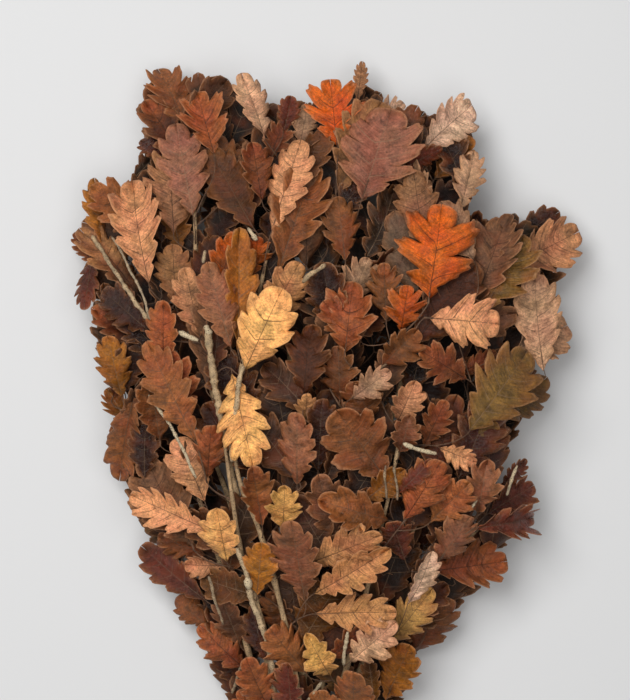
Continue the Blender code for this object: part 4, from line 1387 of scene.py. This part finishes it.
def leaf_habit(draw, settings, blade):
    """How one leaf is lobed and how it dried: a wide one has fewer and deeper lobes."""
    wide = WIDE_LOBING * (blade.width / blade.length - USUAL_SLENDERNESS)
    return Habit(
        lobes=[draw.uniform(*LOBE_COUNT) * (1 - wide) for _ in range(2)],
        depth=min(DEEPEST_LOBES, settings.lobe_depth * draw.uniform(*DEPTH_RANGE) * (1 + wide)),
        lean=(math.radians(draw.uniform(*LEAN_RANGE)), draw.uniform(*BEND_RANGE)),
        fold=draw.uniform(*FOLD_RANGE),
        curls=[settings.curl * draw.uniform(*CURL_RANGE) for _ in range(2)],
        twist=draw.uniform(*TWIST_RANGE),
        tip=draw.uniform(*TIP_RANGE),
        ripple=(settings.ripple * draw.uniform(*RIPPLE_RANGE), draw.uniform(0, 1),
                draw.uniform(0, 1)),
        wave=(draw.uniform(*WAVE_RANGE), draw.uniform(0, 1)),
    )


def leaf_outline(share, left, habit, blade):
    """The blade inside its lobes, the lobes' lengths and directions, and the place in them."""
    body = (share + BODY_START) * (1 - share) ** BODY_BEND / BODY_PEAK
    place = np.where(left, *habit.lobes) * (1 - share) ** LOBE_SPACING
    dome = np.abs(np.cos(math.pi * place)) ** LOBE_ROUNDNESS
    rate, start = habit.wave
    phase = start + SIDE_PHASE * left
    uneven, notched = [
        size * np.sin(2 * math.pi * (times * rate * share + turns * phase))
        for (size, times), turns in ((UNEVEN_LOBES, 1), (NOTCHED_LOBES, 3))]
    dome = dome * (1 + (1 - share) * uneven + (1 - share**6) * notched)
    reach = LEAF_FULLNESS * blade.width * habit.depth * np.minimum(1, LOBE_GROWTH * body)
    length = (reach * (1 - share**4) + TIP_LOBE * blade.length * share**4) * dome
    low, bend = habit.lean
    way = low + (LOBE_FAN - low) * share**bend
    return LEAF_FULLNESS * blade.width * (1 - habit.depth) * body, length, way, place


def leaf_surface(blade, sheet, habit):
    """The leaf's middle surface as a grid of points, with what its finish reads."""
    share = np.linspace(0, 1, sheet.rows)[:, None]
    t = np.linspace(-1, 1, sheet.columns)[None, :]
    left = (t < 0) * np.ones_like(share, bool)
    far = np.abs(t) * np.ones_like(share)
    core, length, way, place = leaf_outline(share, left, habit, blade)
    out = far * core + far**3 * length * np.cos(way)
    ahead = (1 - TIP_LOBE) * blade.length * share + far**3 * length * np.sin(way)
    vein = place - VEIN_SLANT * (1 - far)

    curl = np.where(left, *habit.curls)
    angle = habit.fold + CURL_SHAPE[0] * curl * far ** CURL_SHAPE[1]
    x, z = np.sign(t) * out * np.cos(angle), out * np.sin(angle)
    size, start, second = habit.ripple
    z = z + blade.width * size * far**2 * np.sin(2 * math.pi * (place * 0.5 + start))
    crumple = np.sin(2 * math.pi * (CRUMPLE_RATE * share + second + SIDE_PHASE * t))
    z = z + blade.width * size * CRUMPLE_SHARE * far * crumple * (1 - share**4)
    z = z + VEIN_HOLLOW * np.sin(math.pi * vein) ** 2 * far * (1 - far) * 4
    turn = habit.twist * (share - TWIST_PLACE)
    x, z = x * np.cos(turn) - z * np.sin(turn), x * np.sin(turn) + z * np.cos(turn)
    z = z + blade.camber * 4 * share * (1 - share) + blade.length * habit.tip * share**3
    axes = [np.array(a) for a in (blade.side, blade.axis, blade.normal)]
    grid = np.array(blade.base) + sum(c[..., None] * a for c, a in zip((x, ahead, z), axes))
    grid = settle(grid + np.array(frame_shift()), share)
    return grid, far, share * np.ones_like(far), out * MILLIMETRES, vein


def settle(grid, share):
    """Move a leaf up or down, and its outer part sideways, until it is inside the bunch's box."""
    weights = np.stack((np.minimum(1, share / SETTLE_PLACE),) * 2 + (np.ones_like(share),), -1)
    low, high = np.array(CAD_BOX[0]) + BOX_MARGIN, np.array(CAD_BOX[1]) - BOX_MARGIN
    under = np.maximum(0, low - grid.min((0, 1)))
    over = np.maximum(0, grid.max((0, 1)) - high)
    return grid + (under - over) * weights


def leaf_points(grid, sheet, thickness):
    """The corners of a leaf's closed sheet on both sides of its middle surface."""
    down = np.gradient(grid, axis=0)
    over = np.gradient(grid, axis=1)
    normal = np.cross(over, down)
    normal /= np.maximum(np.linalg.norm(normal, axis=2, keepdims=True), TINY)
    way = np.where(sheet.top, 0.5, -0.5)[:, None] * thickness
    return grid[sheet.along, sheet.across] + normal[sheet.along, sheet.across] * way


def leaf_tone(blade, draw):
    """The tone of a leaf, its own or like those near it."""
    if blade.tone:
        return blade.tone
    middle = blade.base + blade.axis * (blade.length / 2)
    reach = TONE_REACH * PIXEL
    near = []
    for base_u, base_v, tip_u, tip_v, *_, tone in SEEN_LEAVES:
        place = seen_at((base_u + tip_u) / 2, (base_v + tip_v) / 2, middle.z)
        if (place - middle).length < reach:
            near.append(tone)
    if near and draw.random() < TONE_LIKENESS:
        return draw.choice(near)
    return draw.choice(FILLER_TONES)


def painted_inner_shade(blade, along):
    """Painted shade: how much darker a leaf is painted from base to tip, the deeper it lies in the
    bunch.
    """
    ends = (blade.base, blade.base + blade.axis * blade.length)
    depths = [heap_level(*pixel_of(end), 1) - end.z for end in ends]
    shade = np.interp(np.interp(along, (0, 1), depths), INNER_DEPTHS, PAINTED_INNER_SHADES)
    return 1 - (1 - shade) * SHADE_SHARES[blade.detail]


def write_attribute(mesh, name, kind, values):
    """Store one value for each vertex."""
    field = "color" if kind == "FLOAT_COLOR" else "vector"
    mesh.attributes.new(name, kind, "POINT").data.foreach_set(field, np.ravel(values))


def make_leaves(number, branch, material, settings):
    """All leaves of a branch as one mesh."""
    draw = random.Random(LEAF_SEED + number)
    shape = bmesh.new()
    points, tones, places, veins, finishes = [], [], [], [], []
    for blade, _ in branch.leaves:
        sheet = leaf_sheet(*SQUARES[blade.detail])
        habit = leaf_habit(draw, settings, blade)
        grid, edge, along, rib, vein = leaf_surface(blade, sheet, habit)
        shape.from_mesh(sheet.mesh)
        points.append(leaf_points(grid, sheet, settings.thickness))
        pick = (sheet.along, sheet.across)
        count = len(sheet.top)
        colour, pale, rough = TONES[leaf_tone(blade, draw)]
        # Painted light and shade: leaves seen from above are painted lighter and those deep inside
        # darker, each leaf's lightness also varies at random, and each is painted darker where it
        # lies deeper under the heap's top
        light = PAINTED_LIGHT_LEVELS[blade.detail] + draw.uniform(-1, 1) * LIGHT_SPREADS[blade.detail]
        shade = light * painted_inner_shade(blade, along[pick])[:, None]
        tones.append(np.hstack((shade * linear(colour), np.ones((count, 1)))))
        places.append(np.stack((edge[pick], along[pick], rib[pick]), 1))
        dry = np.full(count, draw.uniform(*DRY_RANGE))
        veins.append(np.stack((vein[pick], np.where(sheet.top, 0.0, 1.0), dry), 1))
        finish = (pale, rough + draw.uniform(-1, 1) * ROUGHNESS_SPREAD, draw.random())
        finishes.append(np.tile(finish, (count, 1)))
    mesh = finished_mesh(shape, f"oak_branch_{number:02d}_leaves")
    mesh.vertices.foreach_set("co", np.concatenate(points).ravel())
    write_attribute(mesh, "leaf_tone", "FLOAT_COLOR", np.concatenate(tones))
    for name, values in (("leaf_place", places), ("leaf_vein", veins), ("leaf_finish", finishes)):
        write_attribute(mesh, name, "FLOAT_VECTOR", np.concatenate(values))
    mesh.update()
    return add_piece(mesh.name, mesh, material, "dried_oak_leaf", f"oak_branch_{number:02d}")


def ring_places(path, radii):
    """A matrix for each ring of a tube, turned as little as its path allows."""
    places = []
    start = (path[1] - path[0]).normalized()
    across = Vector((1, 0, 0)) if abs(start.x) < STEEPEST else Vector((0, 0, 1))
    for k, place in enumerate(path):
        ahead = (path[min(k + 1, len(path) - 1)] - path[max(k - 1, 0)]).normalized()
        across = (across - ahead * across.dot(ahead)).normalized()
        turn = Matrix((across, ahead.cross(across), ahead)).transposed().to_4x4()
        places.append(Matrix.Translation(place) @ turn @ Matrix.Scale(radii[k], 4))
    return places


def sweep(shape, path, radii, sides, mark=None, cut=0.0, peel=0.0):
    """A closed tube along a path, extruded ring by ring from a circle."""
    places = ring_places(path, radii)
    made = bmesh.ops.create_circle(
        shape, cap_ends=True, segments=sides, radius=1, matrix=places[0])
    ring = made["verts"]
    edges = list({edge for vert in ring for edge in vert.link_edges})
    if mark:
        for vert in ring:
            vert[mark] = (radii[0] * MILLIMETRES, cut, 0)
    for k in range(1, len(path)):
        made = bmesh.ops.extrude_edge_only(shape, edges=edges)["geom"]
        ring = [g for g in made if isinstance(g, bmesh.types.BMVert)]
        edges = [g for g in made if isinstance(g, bmesh.types.BMEdge)]
        bmesh.ops.transform(shape, matrix=places[k] @ places[k - 1].inverted(), verts=ring)
        if mark:
            for vert in ring:
                vert[mark] = (radii[k] * MILLIMETRES, peel, 0)
    bmesh.ops.contextual_create(shape, geom=edges)


def twig_carries(branch):
    """How many leaves each twig of a branch carries, its own included."""
    carried = [1] * len(branch.leaves)
    for k in range(len(branch.leaves) - 1, -1, -1):
        root = branch.leaves[k][1][0]
        for j in range(k):
            path = branch.leaves[j][1]
            if min((root - p).length for p in smooth_path(path, JOINT_STEP)) < ROOT_REACH:
                carried[j] += carried[k]
                break
    return carried


def add_stem(shape, mark, branch, settings):
    """A branch's stem, uneven and swollen where twigs grow."""
    coarse = stem_radii(branch.stem)
    path = smooth_path(branch.stem, settings.ring_step)
    shares = np.linspace(0, 1, len(path))
    radii = np.interp(shares, np.linspace(0, 1, len(coarse)), coarse)
    low, wave, rate = STEM_WAVES
    radii = [float(r) * (low + wave * noise.noise(p * rate)) for r, p in zip(radii, path)]
    gain, reach = SWELLING
    for _, twig in branch.leaves:
        radii = [r * (1 + gain * math.exp(-((p - twig[0]).length / reach) ** 2))
                 for r, p in zip(radii, path)]
    sweep(shape, path, radii, SIDES["stem"], mark, 1.0)


def add_twigs(shape, mark, branch, settings, draw):
    """A branch's twigs, each tapering from its root to its leaf's midrib."""
    for (blade, twig), carried in zip(branch.leaves, twig_carries(branch)):
        base, rib = [blade.base + blade.axis * (blade.length * share) for share in RIB_PLACES]
        rib = rib - blade.normal * RIB_SINK
        line = smooth_path(list(twig) + [base, rib], settings.ring_step)
        root = settings.twig_radius * (1 + CARRY_GAIN * math.sqrt(carried - 1))
        line = [Vector((p.x, p.y, max(p.z, root * TWIG_FLOOR))) for p in line]
        tip = settings.twig_radius * TWIG_TIP
        count = len(line) - 1
        sizes = [root + (tip - root) * (k / count) ** TWIG_TAPER for k in range(count + 1)]
        sizes = [size * draw.uniform(*TWIG_SPREAD) for size in sizes]
        sweep(shape, line, sizes, SIDES["twig"], mark)


def add_sticks(shape, mark, number, draw):
    """A branch's bare sticks, crooked and knobbly."""
    start, gain = STICK_END
    for owner, radius, peel, knots in STICKS:
        if owner != number:
            continue
        line = crooked(stick_path(knots), draw)
        ends = [min(1, start + gain * min(k, len(line) - 1 - k)) for k in range(len(line))]
        knobs = [1 + STICK_KNOBS * noise.noise(p * STICK_KNOB_RATE) for p in line]
        sizes = [radius * end * knob * draw.uniform(*STICK_SPREAD)
                 for end, knob in zip(ends, knobs)]
        sweep(shape, line, sizes, SIDES["stick"], mark, STICK_CUT * peel, STICK_PEEL * peel)


def make_wood(number, branch, material, settings):
    """The stem, twigs and bare sticks of a branch as one mesh."""
    draw = random.Random(WOOD_SEED + number)
    shape = bmesh.new()
    mark = shape.verts.layers.float_vector.new("wood_place")
    add_stem(shape, mark, branch, settings)
    add_twigs(shape, mark, branch, settings, draw)
    add_sticks(shape, mark, number, draw)
    mesh = framed_mesh(shape, f"oak_branch_{number:02d}_wood")
    return add_piece(mesh.name, mesh, material, "oak_bark", f"oak_branch_{number:02d}")


def tie_loop():
    """The line of the twine round the stems, one turn, from the bottom."""
    slots = [tie_slot(*slot) for slot, _ in STEMS]
    middle = seen_at(*TIE_PIXEL, 0)
    hold = STEM_RADIUS + TWINE_GAP + TWINE_DIAMETER / 2
    loop = []
    for k in range(TIE_CORNERS * 4):
        turn = 2 * math.pi * k / (TIE_CORNERS * 4)
        out = (math.sin(turn), -math.cos(turn))
        x, z = max(slots, key=lambda s: s[0] * out[0] + s[1] * out[1])
        loop.append(Vector((middle.x + x + out[0] * hold, middle.y, z + out[1] * hold + LOOP_RISE)))
    return loop


def twist(shape, line, settings):
    """Twine: strands wound round each other along a line."""
    line = smooth_path(line, settings.lay_length / TWIST_PLACES)
    strand = TWINE_DIAMETER * STRAND_SHARE
    off = TWINE_DIAMETER * 0.5 - strand
    places = ring_places(line, [1.0] * len(line))
    for s in range(settings.strands):
        path = []
        for k, place in enumerate(places):
            turn = 2 * math.pi * (k / TWIST_PLACES + s / settings.strands)
            path.append(place @ Vector((math.cos(turn) * off, math.sin(turn) * off, 0)))
        sweep(shape, path, [strand] * len(path), SIDES["strand"])


def make_twine(material, settings):
    """The tie: turns of twine side by side, a knot over them and two ends."""
    shape = bmesh.new()
    loop = tie_loop()
    pitch = TWINE_DIAMETER * TWINE_PITCH
    for turn in range(TWINE_TURNS):
        shift = Vector((0, pitch * (turn - (TWINE_TURNS - 1) / 2), 0))
        twist(shape, [p + shift for p in loop + loop[:1]], settings)
    top = max(p.z for p in loop) + TWINE_DIAMETER / 2
    middle = seen_at(*TIE_PIXEL, 0)
    knot = Vector((middle.x, middle.y, top + TWINE_DIAMETER * KNOT_RISE))
    size = TWINE_DIAMETER * KNOT_SIZE
    round_knot = []
    for k in range(KNOT_PLACES + 1):
        turn = 2 * math.pi * k / KNOT_PLACES
        round_knot.append(knot + Vector((
            math.sin(turn) * size, math.cos(turn) * size * KNOT_WIDTH,
            math.sin(2 * turn) * KNOT_WAVE)))
    twist(shape, round_knot, settings)
    over = [knot + Vector((0, -y * TWINE_DIAMETER, z * TWINE_DIAMETER)) for y, z in OVER_KNOT]
    twist(shape, over, settings)
    for way in (-1, 1):
        out, ahead = [TWINE_END_LENGTH * share for share in END_REACH]
        end = knot + Vector((way * out, ahead, -END_DROP))
        line = bow_path(knot, Vector((way, 0, 0.5)).normalized(), end,
                        Vector((way, *END_WAY)).normalized(), END_STEP)
        twist(shape, line, settings)
    mesh = framed_mesh(shape, "jute_tie")
    return add_piece(mesh.name, mesh, material, "jute_twine", "twine_tie")


def make_floor(settings):
    """The board that the bunch lies on."""
    shape = bmesh.new()
    bmesh.ops.create_grid(shape, x_segments=1, y_segments=1, size=FLOOR_SIZE)
    mesh = finished_mesh(shape, "floor")
    add_piece(mesh.name, mesh, pale_board(settings))


def add_light(name, place, size, aim, power):
    """A soft square light."""
    place = Vector(place)
    light = bpy.data.lights.new(name, "AREA")
    light.shape = "SQUARE"
    light.size = size
    light.energy = power
    lamp = bpy.data.objects.new(name, light)
    lamp.location = place
    lamp.rotation_euler = (aim - place).to_track_quat("-Z", "Y").to_euler()
    bpy.context.scene.collection.objects.link(lamp)


def make_camera():
    """The eye straight above the picture's middle."""
    camera = bpy.data.cameras.new("camera")
    camera.lens = camera.sensor_width * (EYE_HEIGHT - PICTURE_LEVEL) / PICTURE_HEIGHT
    eye = bpy.data.objects.new("camera", camera)
    eye.location = frame_shift() + Vector((0, 0, EYE_HEIGHT))
    bpy.context.scene.collection.objects.link(eye)
    bpy.context.scene.camera = eye


class OAKBUNCH_OT_leaves(Operator):
    """Add the leaves of every branch."""

    bl_idname = "oakbunch.leaves"
    bl_label = "Add Leaves"

    def execute(self, context):
        material = dried_oak_leaf()
        for number, branch in enumerate(lay_out(), 1):
            make_leaves(number, branch, material, context.scene.oak_leaves)
        return {"FINISHED"}


class OAKBUNCH_OT_wood(Operator):
    """Add the stem and the twigs of every branch."""

    bl_idname = "oakbunch.wood"
    bl_label = "Add Wood"

    def execute(self, context):
        material = oak_bark(context.scene.oak_wood)
        for number, branch in enumerate(lay_out(), 1):
            make_wood(number, branch, material, context.scene.oak_wood)
        return {"FINISHED"}


class OAKBUNCH_OT_twine(Operator):
    """Add the twine that ties the stems."""

    bl_idname = "oakbunch.twine"
    bl_label = "Add Twine"

    def execute(self, context):
        settings = context.scene.oak_twine
        make_twine(jute_twine(settings), settings)
        return {"FINISHED"}


class OAKBUNCH_OT_stage(Operator):
    """Add the floor, the lights and the camera."""

    bl_idname = "oakbunch.stage"
    bl_label = "Add Stage"

    def execute(self, context):
        settings = context.scene.oak_stage
        make_floor(settings)
        make_camera()
        middle = (CAD_BOX[0] + CAD_BOX[1]) / 2
        add_light("key", *KEY_LIGHT, middle, settings.key_power)
        add_light("fill", *FILL_LIGHT, middle, settings.fill_power)
        world = bpy.data.worlds.new("air")
        world.use_nodes = True
        world.node_tree.nodes["Background"].inputs["Color"].default_value = (1, 1, 1, 1)
        world.node_tree.nodes["Background"].inputs["Strength"].default_value = settings.air
        context.scene.world = world
        context.scene.view_settings.view_transform = "Standard"
        return {"FINISHED"}


class OAKBUNCH_PT_panel(Panel):
    """The bunch's settings and pieces, in the sidebar."""

    bl_idname = "OAKBUNCH_PT_panel"
    bl_label = "Oak Bunch"
    bl_space_type = "VIEW_3D"
    bl_region_type = "UI"
    bl_category = "Oak Bunch"

    def draw(self, context):
        for group, operator in GROUPS:
            box = self.layout.box()
            settings = getattr(context.scene, group)
            for name in type(settings).__annotations__:
                box.prop(settings, name)
            box.operator(operator)


GROUPS = (
    ("oak_leaves", "oakbunch.leaves"),
    ("oak_wood", "oakbunch.wood"),
    ("oak_twine", "oakbunch.twine"),
    ("oak_stage", "oakbunch.stage"),
)
SETTINGS = {
    "oak_leaves": OakLeafSettings,
    "oak_wood": OakWoodSettings,
    "oak_twine": TwineSettings,
    "oak_stage": OakStageSettings,
}
CLASSES = (
    *SETTINGS.values(),
    OAKBUNCH_OT_leaves,
    OAKBUNCH_OT_wood,
    OAKBUNCH_OT_twine,
    OAKBUNCH_OT_stage,
    OAKBUNCH_PT_panel,
)


def register():
    """Make the classes and the scene's settings known."""
    for kind in CLASSES:
        bpy.utils.register_class(kind)
    for name, kind in SETTINGS.items():
        setattr(bpy.types.Scene, name, PointerProperty(type=kind))


def unregister():
    """Take the settings and the classes away again."""
    for name in SETTINGS:
        delattr(bpy.types.Scene, name)
    for kind in reversed(CLASSES):
        bpy.utils.unregister_class(kind)


def main():
    """Build the bunch and its stage."""
    register()
    bpy.ops.oakbunch.leaves()
    bpy.ops.oakbunch.wood()
    bpy.ops.oakbunch.twine()
    bpy.ops.oakbunch.stage()


if __name__ == "__main__":
    main()
